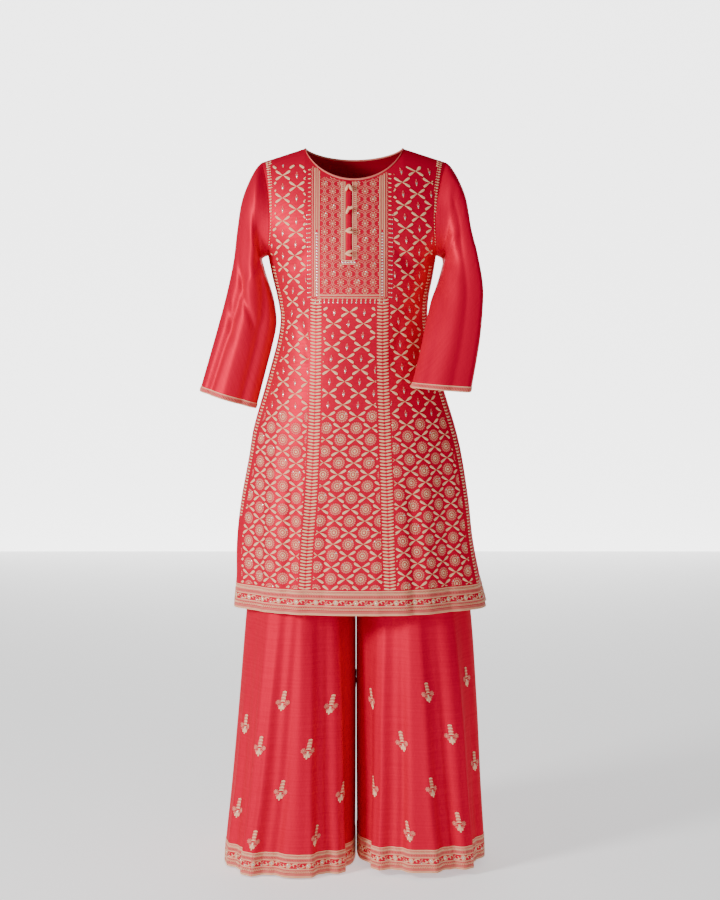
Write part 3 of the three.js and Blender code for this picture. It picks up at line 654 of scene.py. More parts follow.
for side, word in ((-1, "left"), (1, "right")):
    phi = np.arange(0, 360, 360 / SLEEVE_COLUMNS)
    points = sleeve(side, phi[None, :], np.linspace(0, 10, SLEEVE_ROWS)[:, None])
    points[0, :, 0] -= side * SLEEVE_TUCK
    cloth(f"sleeve_{word}_cloth", points, SILK, side, [f"sleeve_{word}"], closed=True)
    heights = np.concatenate([np.linspace(LEG_HEM[side], FORK, LEG_ROWS[0]),
                              np.linspace(FORK, BAND_BOTTOM, LEG_ROWS[1])[1:]])
    for start, half in ((0, "front"), (180, "back")):
        turns = start + np.linspace(0, 180, LEG_COLUMNS)
        points = leg(side, turns[None, :], heights[:, None])
        cloth(f"leg_{word}_{half}_cloth", points, SILK, side, [f"leg_{word}_{half}"])

# Cloth laid out flat

class Chart:
    """Cloth laid out flat: s runs across along each row of a grid and v up the rows. Places
    between the rows and columns come from the four around them."""

    STEP = 0.003

    def __init__(self, rows, valid, base, heights, reach):
        """rows are points from left to right as seen from outside, base each row's distance
        along itself to the line s = 0, heights the v of the rows, reach the lowest and
        highest s."""
        arc = along_rows(rows)
        self.s = np.arange(reach[0], reach[1] + self.STEP, self.STEP)
        self.v = heights
        grid, sound = [], []
        for row, ok, at, start in zip(rows, valid, arc, base):
            place = start + self.s
            grid.append(np.stack([np.interp(place, at, row[:, k]) for k in range(3)], -1))
            inside = (place >= at[0]) & (place <= at[-1])
            sound.append(inside & (np.interp(place, at, ok.astype(float)) > 0.99))
        self.points = np.array(grid)
        self.sound = np.array(sound)
        self.out = grid_normals(self.points)

    def at(self, s, v, lift):
        """Points over flat places, lifted off the cloth, and whether they are on it."""
        j = (s - self.s[0]) / self.STEP
        i = np.interp(v, self.v, np.arange(len(self.v)))
        on = (j >= 0) & (j <= len(self.s) - 1) & (v >= self.v[0]) & (v <= self.v[-1])
        j = np.clip(j, 0, len(self.s) - 1.001)
        i = np.clip(i, 0, len(self.v) - 1.001)
        j0, i0 = j.astype(int), i.astype(int)
        fj, fi = (j - j0)[..., None], (i - i0)[..., None]
        total = 0
        for di, wi in ((0, 1 - fi), (1, fi)):
            for dj, wj in ((0, 1 - fj), (1, fj)):
                corner = (i0 + di, j0 + dj)
                total = total + wi * wj * (self.points[corner] + self.out[corner] * lift[..., None])
                on = on & self.sound[corner]
        return total, on


class Motif:
    """Raised stitches at flat places: points as (s, v, lift), faces, kinds of thread, UV."""

    FOOT = 0.0002

    def __init__(self):
        self.points, self.faces, self.kinds, self.uv = [], [], [], []

    def stroke(self, path, half, lift=0.0009, kind=0):
        """A raised stroke along a path: its two edges low and its middle line high."""
        path = np.asarray(path, float)
        half = np.broadcast_to(np.asarray(half, float), (len(path),))[:, None]
        along = unit(np.gradient(path, axis=0))
        side = np.stack([-along[:, 1], along[:, 0]], -1)
        run = np.concatenate([[0], np.linalg.norm(np.diff(path, axis=0), axis=1).cumsum()])
        start = len(self.points)
        for k in range(len(path)):
            for offset, height in ((1, self.FOOT), (0, lift), (-1, self.FOOT)):
                self.points.append([*(path[k] + offset * side[k] * half[k]), height])
                self.uv.append([run[k], offset])
        for k in range(len(path) - 1):
            a = start + 3 * k
            self.faces += [[a, a + 1, a + 4, a + 3], [a + 1, a + 2, a + 5, a + 4]]
            self.kinds += [kind, kind]
        return self

    def dome(self, s, v, radius, lift=0.0014, kind=0, sides=8):
        """A round stitch, bead or sequin, highest in its middle."""
        start = len(self.points)
        self.points.append([s, v, lift])
        self.uv.append([0, 0])
        for k in range(sides):
            spin = 2 * math.pi * k / sides
            rim_s, rim_v = s + radius * math.cos(spin), v + radius * math.sin(spin)
            self.points.append([rim_s, rim_v, self.FOOT])
            self.uv.append([math.cos(spin) * radius, math.sin(spin)])
        for k in range(0, sides, 2):
            rim = [start + 1 + (k + m) % sides for m in range(3)]
            self.faces.append([start, *rim])
            self.kinds.append(kind)
        return self

    def ring(self, s, v, inner, outer, petals, half, kind=0, lift=0.0009, turn=0.0):
        """Short radial stitches side by side round a middle."""
        for k in range(petals):
            spin = turn + 2 * math.pi * k / petals
            ray = np.array([math.cos(spin), math.sin(spin)])
            ends = [np.array([s, v]) + ray * r for r in (inner, (inner + outer) / 2, outer)]
            self.stroke(ends, [half * 0.6, half, half * 0.7], lift, kind)
        return self


def turned(motif, flip_s=1, flip_v=1):
    """A copy of a motif mirrored across or up, with its faces still looking out."""
    copy = Motif()
    copy.points = [[s * flip_s, v * flip_v, h] for s, v, h in motif.points]
    mirrored = flip_s * flip_v < 0
    copy.faces = [face[::-1] if mirrored else face for face in motif.faces]
    copy.kinds, copy.uv = list(motif.kinds), list(motif.uv)
    return copy


def embroider(name, batches, replaced=()):
    """One joined mesh of motifs on cloth. Each batch is a chart, a motif, the places of its
    copies as rows of (s, v), and a test of points on the cloth: faces that fail it are cut off."""
    points, faces, kinds, uvs = [], [], [], []
    count = 0
    for chart, motif, places, keep in batches:
        shape = np.array(motif.points)
        places = np.asarray(places, float).reshape(-1, 2)
        s = places[:, :1] + shape[:, 0]
        v = places[:, 1:] + shape[:, 1]
        placed, on = chart.at(s, v, np.broadcast_to(shape[:, 2], s.shape))
        if keep is not None:
            on = on & keep(placed)
        copies = len(placed)
        quads = np.array(motif.faces)
        kept = on[:, quads].all(2)
        corners = quads[None] + (count + np.arange(copies) * len(shape))[:, None, None]
        points.append(placed.reshape(-1, 3))
        faces.append(corners[kept])
        kinds.append(np.broadcast_to(motif.kinds, kept.shape)[kept])
        uvs.append(np.tile(np.array(motif.uv), (copies, 1)))
        count += copies * len(shape)
    used, quads = np.unique(np.concatenate(faces), return_inverse=True)
    quads = quads.reshape(-1, 4)
    piece = mesh_piece(name, np.concatenate(points)[used], quads, np.concatenate(kinds),
                       np.concatenate(uvs)[used], [CREAM, ROSY, SEQUIN])
    if replaced:
        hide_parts(*replaced)


# Charts of the kurta and the legs

def level_rows(face, angles, heights):
    """Level rows of the kurta, and which of their points lie below its upper edge."""
    angle, z = np.meshgrid(angles, heights)
    _, end_z, _ = neck_or_shoulder(face, angle)
    low = (z - KURTA_HEM) / (UNDERARM - KURTA_HEM)
    high = 1 + (z - UNDERARM) / (end_z - UNDERARM)
    rise = np.where(z <= UNDERARM, low, high)
    return kurta(face, angle, np.clip(rise, 0, 2)), rise <= 2


def along_rows(rows):
    """Distance of each point of the rows from the row's start."""
    arc = np.linalg.norm(np.diff(rows, axis=1), axis=2).cumsum(1)
    return np.concatenate([np.zeros((len(rows), 1)), arc], 1)


CHART_COLUMNS = 481
FRONT_ANGLES = np.linspace(-90, 90, CHART_COLUMNS)
FRONT_HEIGHTS = np.arange(KURTA_HEM, SHOULDER_Z, Chart.STEP)
FRONT_ROWS, FRONT_VALID = level_rows(-1, FRONT_ANGLES, FRONT_HEIGHTS)
FRONT_ARC = along_rows(FRONT_ROWS)


def front_chart(line_x, reach):
    """A chart of the kurta's front whose line s = 0 has x = line_x(height)."""
    base = [np.interp(line_x(z), row[:, 0], arc)
            for z, row, arc in zip(FRONT_HEIGHTS, FRONT_ROWS, FRONT_ARC)]
    return Chart(FRONT_ROWS, FRONT_VALID, base, FRONT_HEIGHTS, reach)


def column_x(angle):
    """The x of a column of the front at any height."""
    rows, _ = level_rows(-1, np.array([angle]), FRONT_HEIGHTS)
    return lambda z: np.interp(z, FRONT_HEIGHTS, rows[:, 0, 0])


def seam_x(side):
    """The x of a gore seam at any height."""
    return lambda z: row_at(GORE_SEAM, z)[0 if side < 0 else 1]


SIDE_BAND_ANGLE = 71.0
SIDE_BAND_HALF = 0.0075
LATTICE_COLUMN = 0.0298
LATTICE_ROW = 0.0228
ROSETTES_BELOW = -0.527
YOKE_LEFT = -0.073
YOKE_RIGHT = 0.056
YOKE_FRINGE = 0.021

STITCH_GAP = 0.0008
BORDER_GAP = 0.0015
DROP_REACH = 0.016
LATTICE_TOP = -0.034
ARMHOLE_SHIFT = 0.0030


def leaning(x, lean=0.0, height=0.0):
    """A straight line up the front: its x at a height, plus lean for each metre above it."""
    return lambda z: x + lean * (z - height)


CENTRE_LINE = front_chart(leaning(-0.0092, 0.0705, -0.330), (-0.16, 0.16))
LEFT_LINE = front_chart(leaning(-0.1415), (-0.24, 0.12))
RIGHT_LINE = front_chart(leaning(0.0863, -0.08, -0.3218), (-0.10, 0.28))


def lattice_places(chart, origin, odd, low=KURTA_HEM, high=0.0):
    """Places of a half-drop lattice: the crossings, or with odd set the middles of cells."""
    columns = np.arange(-12, 13)
    rows = np.arange(-40, 41)
    i, j = np.meshgrid(columns, rows)
    pick = (i + j) % 2 == (1 if odd else 0)
    s, v = i[pick] * LATTICE_COLUMN, origin + j[pick] * LATTICE_ROW
    inside = (v > low) & (v < high) & (s > chart.s[0]) & (s < chart.s[-1])
    return np.stack([s[inside], v[inside]], -1)


# Motifs of the lattice
leaf = Motif()
leaf_run = np.linspace(0, 1, 7)
leaf.stroke(np.stack([0.0006 + 0.0147 * leaf_run, 0.0003 + 0.0086 * leaf_run**1.12], -1),
            [0.0004, 0.0007, 0.0014, 0.0021, 0.0024, 0.0024, 0.0015], 0.0016)
LEAVES = [turned(leaf, a, b) for a in (1, -1) for b in (1, -1)]

bud = Motif()
bud.stroke([(0, 0.0066), (0, 0.0045), (0, 0.0022)], [0.0005, 0.0012, 0.0007], 0.0009, 1)
for way in (-1, 1):
    bud.stroke([(way * 0.0028, 0.0016), (way * 0.0015, 0.0005), (way * 0.0004, -0.0002)],
               [0.0005, 0.0011, 0.0007], 0.0009, 1)
bud.dome(0, -0.0022, 0.0021, 0.0014, 2)
bud.stroke([(0, -0.0046), (0, -0.0060), (0, -0.0072)], [0.0008, 0.0010, 0.0004], 0.0009, 0)

rosette = Motif()
rosette.ring(0, 0, 0.0078, 0.0118, 16, 0.0017, 1, 0.0010)
rosette.ring(0, 0, 0.0044, 0.0068, 11, 0.0015, 0, 0.0012, 0.2)
rosette.dome(0, 0, 0.0028, 0.0018, 0)
rosette_sequin = Motif().dome(0.0072, 0.0056, 0.0018, 0.0020, 2, 6)

# Tests of where embroidery may lie
side_band_x = {side: column_x(side * SIDE_BAND_ANGLE) for side in (-1, 1)}
armhole_x = {side: column_x(side * (90 - ARMHOLE_BAND)) for side in (-1, 1)}


def in_centre(p):
    """Between the two gore bands, below the yoke and its drops, above the border."""
    x, z = p[..., 0], p[..., 2]
    clear = GORE_BAND_HALF + STITCH_GAP
    return ((x > seam_x(-1)(z) + clear) & (x < seam_x(1)(z) - clear) & (z < YOKE_BOTTOM - DROP_REACH)
            & (z > BORDER_TOP + BORDER_GAP))


def in_side(side):
    """Outside a gore band or the yoke's fringe, clear of the side and armhole bands."""
    def test(p):
        x, z = p[..., 0] * side, p[..., 2]
        clear = GORE_BAND_HALF + STITCH_GAP
        yoke_edge = (YOKE_RIGHT if side > 0 else -YOKE_LEFT) + YOKE_FRINGE
        gore = np.where(z < YOKE_BOTTOM, seam_x(side)(z) * side + clear, yoke_edge)
        band = side_band_x[side](z) * side - SIDE_BAND_HALF
        armhole = armhole_x[side](z) * side - ARMHOLE_SHIFT
        edge = np.where(z < UNDERARM, band, armhole)
        return (x > gore) & (x < edge) & (z > BORDER_TOP + BORDER_GAP) & (z < LATTICE_TOP)
    return test


def lattice_batches(chart, origin, keep, shift):
    """Leaves at the crossings, buds in the upper cells and rosettes in the lower ones."""
    crossings = lattice_places(chart, origin, False)
    cells = lattice_places(chart, origin, True)
    batches = [(chart, one, crossings, keep) for one in LEAVES]
    upper = cells[cells[:, 1] > ROSETTES_BELOW]
    lower = cells[cells[:, 1] <= ROSETTES_BELOW]
    batches.append((chart, bud, upper, keep))
    batches.append((chart, rosette, lower, keep))
    batches.append((chart, rosette_sequin, lower[shift::3], keep))
    batches.append((chart, turned(rosette_sequin, -1, 1), lower[(shift + 1) % 3::4], keep))
    return batches


# Ladder bands of slanted satin stitches

def ladder(half, slant, thick):
    """Two slanted stitches side by side that meet in the middle of the band."""
    motif = Motif()
    run = np.linspace(0, 1, 4)
    widths = np.array([0.55, 0.95, 1.0, 0.6]) * thick
    left = np.stack([-half + (half - 0.0004) * run, slant * (1 - 2 * run)], -1)
    right = np.stack([0.0004 + (half - 0.0004) * run, -slant * (1 - 1.5 * run)], -1)
    motif.stroke(left, widths, 0.0016)
    motif.stroke(right, widths[::-1], 0.0016)
    return motif


def column_places(low, high, pitch, s=0.0):
    """Places one above the other."""
    v = np.arange(low, high, pitch)
    return np.stack([np.full(len(v), s), v], -1)


def row_places(left, right, pitch, v=0.0):
    """Places side by side."""
    s = np.arange(left, right, pitch)
    return np.stack([s, np.full(len(s), v)], -1)


def stitch_column(chart, stitch, low, high, pitch, s=0.0):
    """A batch of one stitch, repeated upwards."""
    return chart, stitch, column_places(low, high, pitch, s), None


def stitch_row(chart, stitch, left, right, pitch, v):
    """A batch of one stitch, repeated sideways."""
    return chart, stitch, row_places(left, right, pitch, v), None


GORE_PITCH = 0.0066
SIDE_PITCH = 0.0064
ARMHOLE_PITCH = 0.0062
BAND_REACH = (-0.02, 0.02)
FIRST_STITCH = 0.004
gore_stitch = ladder(half=0.0118, slant=0.0012, thick=0.0018)
for side, word in ((-1, "left"), (1, "right")):
    chart = front_chart(seam_x(side), BAND_REACH)
    rungs = stitch_column(chart, turned(gore_stitch, -side), BORDER_TOP + FIRST_STITCH,
                          YOKE_BOTTOM - 0.002, GORE_PITCH)
    embroider(f"gore_ladder_{word}", [rungs], [f"gore_band_{word}"])

# Lattice of each gore: the line it is counted from, the height of a crossing, where it may lie
LATTICES = [
    (CENTRE_LINE, -0.327, in_centre),
    (LEFT_LINE, -0.740, in_side(-1)),
    (RIGHT_LINE, -0.3218, in_side(1)),
]
lattice = []
for shift, (chart, origin, keep) in enumerate(LATTICES):
    lattice += lattice_batches(chart, origin, keep, shift)
side_stitch = ladder(half=0.0066, slant=0.0009, thick=0.0017)
for side in (-1, 1):
    chart = front_chart(side_band_x[side], BAND_REACH)
    lattice.append(stitch_column(chart, side_stitch, BORDER_TOP + FIRST_STITCH,
                                 UNDERARM - 0.022, SIDE_PITCH))
embroider("kurta_lattice", lattice)

STRIP_COLUMNS = 60
ARMHOLE_RISES = (1.10, 1.985)


def armhole_chart(side):
    """A chart of the strip of the front beside an armhole, v along the seam."""
    middle = STRIP_COLUMNS // 2
    angles = np.linspace(90 - ARMHOLE_BAND - 1, 89.7, STRIP_COLUMNS) * side
    rises = np.linspace(*ARMHOLE_RISES, 90)
    rows = kurta(-1, np.sort(angles)[None, :], rises[:, None])
    steps = np.linalg.norm(np.diff(rows[:, middle], axis=0), axis=1)
    heights = np.concatenate([[0], steps.cumsum()])
    base = along_rows(rows)[:, middle]
    return Chart(rows, np.ones(rows.shape[:2], bool), base, heights, (-0.012, 0.012))


for side, word in ((-1, "left"), (1, "right")):
    chart = armhole_chart(side)
    top = chart.v[-1] - FIRST_STITCH
    places = column_places(FIRST_STITCH, top, ARMHOLE_PITCH, -side * ARMHOLE_SHIFT)
    stitch = ladder(half=0.0056, slant=0.0009, thick=0.0017)
    embroider(f"armhole_ladder_{word}", [(chart, stitch, places, None)], [f"armhole_band_{word}"])


# Borders: rows of lines, slanted stitches, loops and a scrolling vine with flowers

LINE_PITCH = 0.0090
line = Motif().stroke([(0, 0), (LINE_PITCH / 2, 0), (LINE_PITCH, 0)], 0.0008, 0.0009, 0)
rosy_line = Motif().stroke([(0, 0), (LINE_PITCH / 2, 0), (LINE_PITCH, 0)], 0.0009, 0.0008, 1)
slanted = Motif().stroke([(-0.0007, -0.0026), (0.0002, 0), (0.0009, 0.0026)],
                         [0.0006, 0.0010, 0.0006], 0.0010, 1)
zigzag = Motif().stroke([(0, -0.0015), (0.0016, 0.0015), (0.0032, -0.0015)], 0.0006, 0.0009, 0)
loop = Motif()
loop_turn = np.linspace(0, math.pi, 6)
loop_arch = np.stack([0.0019 * np.cos(loop_turn), -0.0020 + 0.0044 * np.sin(loop_turn)], -1)
loop.stroke(loop_arch, 0.0006, 0.0009, 0)
loop.stroke([(0, -0.0022), (0, 0.0006)], 0.0006, 0.0009, 1)

VINE_PITCH = 0.0400
vine = Motif()
vine.ring(0, 0, 0.0022, 0.0054, 9, 0.0013, 0, 0.0011)
vine.dome(0, 0, 0.0019, 0.0016, 2)
curl_turn = np.linspace(0.3, 4.4, 9)
curl_size = np.linspace(0.0052, 0.0016, 9)
curl = np.stack([curl_size * np.cos(curl_turn), curl_size * np.sin(curl_turn)], -1)
for way in (1, -1):
    vine.stroke(curl * way + [way * 0.0128, 0.0], 0.0009, 0.0011, 0)
    vine.stroke(way * np.array([(0.0060, 0.0006), (0.0084, 0.0024), (0.0112, 0.0044)]),
                [0.0006, 0.0012, 0.0006], 0.0010, 0)
    vine.stroke(way * np.array([(0.0160, -0.0040), (0.0182, -0.0018), (0.0199, 0.0010)]),
                [0.0006, 0.0013, 0.0006], 0.0010, 1)
    vine.stroke(way * np.array([(0.0150, 0.0046), (0.0172, 0.0042), (0.0190, 0.0052)]),
                [0.0005, 0.0011, 0.0005], 0.0010, 1)
vine_bead = Motif().dome(VINE_PITCH / 2, -0.0040, 0.0014, 0.0013, 2, 6)

# Heights of a border's rows, drawn for a border of full height
FULL_BORDER = 0.049
BORDER_LINES = (0.0010, 0.0032, 0.0186, 0.0322, 0.0418, 0.0480)
BORDER_ROSY_LINES = (0.0054, 0.0078, 0.0166, 0.0342, 0.0398, 0.0462)
# Other rows: stitch, distance from one to the next, height, where the first one starts
BORDER_STITCHES = [
    (slanted, 0.0033, 0.0370, 0.0), (zigzag, 0.0032, 0.0440, 0.0), (loop, 0.0047, 0.0120, 0.0),
    (vine, VINE_PITCH, 0.0254, 0.02), (vine_bead, VINE_PITCH, 0.0254, 0.02),
]


def border_batches(chart, hem, high, left, right):
    """Rows of a border from its hem up, squeezed to the border's own height."""
    rows = [(line, LINE_PITCH, v, 0.0) for v in BORDER_LINES]
    rows += [(rosy_line, LINE_PITCH, v, 0.0) for v in BORDER_ROSY_LINES]
    rows += BORDER_STITCHES
    scale = high / FULL_BORDER
    return [stitch_row(chart, stitch, left + start, right, pitch, hem + v * scale)
            for stitch, pitch, v, start in rows]


BORDER_HEIGHTS = np.arange(KURTA_HEM, BORDER_TOP + 0.0031, Chart.STEP)
for face, word in ((-1, "front"), (1, "back")):
    rows, valid = level_rows(face, FRONT_ANGLES * -face, BORDER_HEIGHTS)
    arc = along_rows(rows)
    base = arc[:, CHART_COLUMNS // 2]
    half = max(base.max(), (arc[:, -1] - base).max())
    chart = Chart(rows, valid, base, BORDER_HEIGHTS, (-half - 0.01, half + 0.01))
    embroider(f"hem_embroidery_{word}", border_batches(chart, KURTA_HEM, FULL_BORDER, -half, half),
              [f"hem_border_{word}"])

# Sharara: borders and the small scattered flowers
buti = Motif()
for k in range(7):
    v = 0.0180 - 0.0030 * k
    half = 0.0042 + 0.0001 * k
    buti.stroke([(-half, v - 0.0006), (0, v + 0.0006), (half, v - 0.0006)],
                [0.0010, 0.0017, 0.0010], 0.0014, k % 2)
for way in (1, -1):
    buti.ring(way * 0.0100, -0.0030, 0.0010, 0.0052, 7, 0.0016, 1, 0.0014, 0.3)
    buti.dome(way * 0.0100, -0.0030, 0.0016, 0.0018, 0, 6)
    buti.stroke([(way * 0.0024, -0.0050), (way * 0.0042, -0.0046), (way * 0.0056, -0.0036)],
                0.0010, 0.0012, 1)
    buti.stroke([(way * 0.0020, -0.0082), (way * 0.0066, -0.0104), (way * 0.0090, -0.0104)],
                [0.0010, 0.0024, 0.0014], 0.0014, 1)
    buti.stroke([(way * 0.0016, -0.0100), (way * 0.0042, -0.0136), (way * 0.0044, -0.0166)],
                [0.0010, 0.0024, 0.0014], 0.0014, 0)
buti.stroke([(0, -0.0040), (0, -0.0110), (0, -0.0200)], [0.0018, 0.0030, 0.0014], 0.0018, 0)
buti.dome(0, -0.0076, 0.0019, 0.0026, 2, 6)

# Places of the flowers in the photo, in metres across and up
BUTI_PLACES = {
    -1: [(-0.1413, -1.098), (-0.0462, -1.108), (-0.219, -1.157), (-0.188, -1.189), (-0.0905, -1.191),
         (-0.144, -1.275), (-0.0228, -1.284), (-0.2335, -1.326), (-0.2005, -1.373), (-0.0760, -1.364)],
    1: [(0.0364, -1.101), (0.1459, -1.080), (0.2270, -1.062), (0.1935, -1.166), (0.0960, -1.178),
        (0.0392, -1.272), (0.1548, -1.266), (0.2430, -1.236), (0.1065, -1.353), (0.2085, -1.340)],
}
# The even rows of flowers behind: top row, distances, first flower and the inside left free
BUTI_TOP = -1.085
BUTI_ROWS = 4
BUTI_ROW = 0.090
BUTI_COLUMN = 0.105
BUTI_FIRST = 0.09
INSIDE_LEG = 0.160
LEG_CHART_COLUMNS = 1081
LEG_CHART_TOP = -1.0
BORDER_ROWS = 16


def leg_chart(side):
    """A chart of a whole leg, open along its inside, v the height, and its reach at the border."""
    heights = np.arange(LEG_HEM[side], LEG_CHART_TOP, Chart.STEP)
    turns = np.linspace(0.4, 359.6, LEG_CHART_COLUMNS)
    if side < 0:
        turns = turns[::-1]
    rows = leg(side, turns[None, :], heights[:, None])
    arc = along_rows(rows)
    base = arc[:, LEG_CHART_COLUMNS // 2]
    reach = max(base[:BORDER_ROWS].max(), (arc[:, -1] - base)[:BORDER_ROWS].max())
    return Chart(rows, np.ones(rows.shape[:2], bool), base, heights, (-0.62, 0.62)), reach


for side, word in ((-1, "left"), (1, "right")):
    chart, reach = leg_chart(side)
    embroider(f"leg_border_{word}", border_batches(chart, LEG_HEM[side], LEG_BORDER, -reach, reach),
              [f"leg_border_{word}_front", f"leg_border_{word}_back"])
    places = []
    front = chart.points[..., 1] < 0
    for x, z in BUTI_PLACES[side]:
        row = int(np.clip(round((z - chart.v[0]) / Chart.STEP), 0, len(chart.v) - 1))
        away = np.where(front[row] & chart.sound[row], np.abs(chart.points[row, :, 0] - x), 9)
        places.append((chart.s[away.argmin()], z))
    for row in range(BUTI_ROWS):
        v = BUTI_TOP - BUTI_ROW * row
        start = BUTI_FIRST + BUTI_COLUMN / 2 * (row % 2)
        for s in np.arange(start, reach - INSIDE_LEG, BUTI_COLUMN):
            places.append((s * side, v))
    embroider(f"butis_{word}", [(chart, buti, places, None)])

# Yoke: interlaced lattice with small flowers, borders and a fringe of drops

def yoke_chart(reach):
    """A chart of the front round the placket, v the length of cloth above the yoke's edge."""
    pick = FRONT_HEIGHTS > YOKE_BOTTOM - 0.004
    rows, valid, arc = FRONT_ROWS[pick], FRONT_VALID[pick], FRONT_ARC[pick]
    base = [np.interp(CENTRE_FRONT, row[:, 0], at) for row, at in zip(rows, arc)]
    middle = np.array([[np.interp(CENTRE_FRONT - 0.03, row[:, 0], row[:, k]) for k in range(3)]
                       for row in rows])
    length = np.concatenate([[0], np.linalg.norm(np.diff(middle, axis=0), axis=1).cumsum()])
    start = np.interp(YOKE_BOTTOM, FRONT_HEIGHTS[pick], length)
    return Chart(rows, valid, base, length - start, reach)


YOKE_CELL = 0.0160
YOKE_ROW = 0.0166
YOKE_ORIGIN = 0.0150
YOKE_SIDE_BORDER = 0.0052
YOKE_LOW_BORDER = 0.0070
PLACKET_CLEAR = 0.0150
PLACKET_END = -0.230
medallion = Motif()
medallion.ring(0, 0, 0.0027, 0.0050, 8, 0.0011, 1, 0.0010)
medallion.ring(0, 0, 0.0050, 0.0067, 8, 0.0012, 0, 0.0010, 0.39)
medallion.dome(0, 0, 0.0021, 0.0017, 0)
medallion_sequin = Motif().dome(0.0030, 0.0042, 0.0018, 0.0018, 2, 6)
ogee = Motif()
ogee_run = np.linspace(0, 1, 7)
ogee_bow = 0.0021 * np.sin(2 * np.pi * ogee_run)
for offset in (-0.0018, 0.0018):
    ogee.stroke(np.stack([YOKE_CELL * ogee_run - ogee_bow + offset * 0.7,
                          YOKE_ROW * ogee_run + ogee_bow * 0.6 - offset * 0.7], -1), 0.0007, 0.0008, 1)
ogee_back = turned(ogee, -1, 1)


def in_yoke(p):
    """Inside the yoke's side borders and above its lower edge, clear of the placket's border."""
    x, z = p[..., 0], p[..., 2]
    placket = (np.abs(x - CENTRE_FRONT) < PLACKET_CLEAR) & (z > PLACKET_END)
    across = (x > YOKE_LEFT + YOKE_SIDE_BORDER) & (x < YOKE_RIGHT - YOKE_SIDE_BORDER)
    return across & (z > YOKE_BOTTOM + YOKE_LOW_BORDER) & ~placket


YOKE_CHART = yoke_chart((-0.075, 0.080))
columns, levels = np.meshgrid(np.arange(-5, 6), np.arange(-1, 22))
cells = np.stack([columns * YOKE_CELL, YOKE_ORIGIN + levels * YOKE_ROW], -1)
even = (columns + levels) % 2 == 0
flowers, crossings = cells[even], cells[~even]
yoke = [
    (YOKE_CHART, medallion, flowers, in_yoke),
    (YOKE_CHART, medallion_sequin, flowers[::2], in_yoke),
    (YOKE_CHART, ogee, crossings, in_yoke),
    (YOKE_CHART, ogee_back, crossings, in_yoke),
]

# Upright stitched lines beside the yoke and the placket
UPRIGHT_PITCH = 0.0060
upright = Motif().stroke([(0, 0), (0, UPRIGHT_PITCH / 2), (0, UPRIGHT_PITCH)], 0.0008, 0.0011, 0)
rosy_upright = Motif().stroke([(0, 0), (0, UPRIGHT_PITCH / 2), (0, UPRIGHT_PITCH)], 0.0010, 0.0009, 1)
sequin = Motif().dome(0, 0, 0.0021, 0.0018, 2)
small_bead = Motif().dome(0, 0, 0.0015, 0.0015, 0, 6)
drop = Motif().stroke([(0, 0.0010), (0.0022, 0.0004), (0.0056, 0)], [0.0005, 0.0013, 0.0007], 0.0013, 0)
drop.stroke([(-0.0035, -0.0040), (-0.0012, -0.0022), (0, 0.0010), (-0.0012, 0.0026), (-0.0035, 0.0042)],
            0.0005, 0.0009, 1)
drop_tip = Motif().dome(0.0074, 0, 0.0014, 0.0016, 2, 6)
hanging = turned(drop)
hanging.points = [[v, -s, height] for s, v, height in drop.points]
hanging_tip = Motif().dome(0, -0.0074, 0.0014, 0.0016, 2, 6)

# Columns beside the yoke and the placket: stitch, lower and upper end, pitch, distance outward
SIDE_TOP = -0.04
PLACKET_LINE = 0.0760
PLACKET_TOP = 0.32
SEQUIN_PITCH = 0.0058
YOKE_COLUMNS = [
    (upright, YOKE_BOTTOM + 0.003, SIDE_TOP, UPRIGHT_PITCH, -0.0048),
    (upright, YOKE_BOTTOM + 0.003, SIDE_TOP, UPRIGHT_PITCH, 0.0048),
    (rosy_upright, YOKE_BOTTOM + 0.003, SIDE_TOP, UPRIGHT_PITCH, -0.0028),
    (rosy_upright, YOKE_BOTTOM + 0.003, SIDE_TOP, UPRIGHT_PITCH, 0.0028),
    (upright, -0.165, SIDE_TOP, UPRIGHT_PITCH, 0.0),
    (sequin, YOKE_BOTTOM + 0.006, -0.170, SEQUIN_PITCH, 0.0),
    (rosy_upright, YOKE_BOTTOM + 0.003, SIDE_TOP, UPRIGHT_PITCH, 0.0086),
]
PLACKET_COLUMNS = [
    (upright, PLACKET_LINE, PLACKET_TOP, UPRIGHT_PITCH, 0.0075),
    (upright, PLACKET_LINE, PLACKET_TOP, UPRIGHT_PITCH, 0.0146),
    (rosy_upright, PLACKET_LINE, PLACKET_TOP, UPRIGHT_PITCH, 0.0095),
    (small_bead, PLACKET_LINE + 0.001, PLACKET_TOP, 0.0042, 0.0120),
]
# Rows under the placket and along the yoke's lower edge: stitch, left and right end, pitch, height
YOKE_ROWS = [
    (line, -0.0150, 0.0100, 0.0085, 0.0745),
    (line, -0.0150, 0.0100, 0.0085, 0.0675),
    (sequin, -0.0118, 0.0125, SEQUIN_PITCH, 0.0710),
    (line, -0.0640, 0.0640, LINE_PITCH, 0.0066),
    (rosy_line, -0.0640, 0.0640, LINE_PITCH, 0.0048),
    (line, -0.0640, 0.0640, LINE_PITCH, 0.0010),
]
TIPS_BELOW = -0.13
for side, x in ((-1, YOKE_LEFT), (1, YOKE_RIGHT)):
    chart = front_chart(leaning(x), (-0.035, 0.035))
    for stitch, low, high, pitch, out in YOKE_COLUMNS:
        yoke.append(stitch_column(chart, stitch, low, high, pitch, side * out))
    places = column_places(YOKE_BOTTOM + 0.002, -0.045, 0.0090, side * 0.0125)
    yoke.append((chart, turned(drop, side, 1), places, None))
    yoke.append((chart, turned(drop_tip, side, 1), places[places[:, 1] < TIPS_BELOW], None))
    for stitch, low, high, pitch, out in PLACKET_COLUMNS:
        yoke.append(stitch_column(YOKE_CHART, stitch, low, high, pitch, side * out))
for stitch, left, right, pitch, v in YOKE_ROWS:
    yoke.append(stitch_row(YOKE_CHART, stitch, left, right, pitch, v))
BELOW_YOKE = front_chart(leaning(CENTRE_FRONT), (-0.09, 0.09))
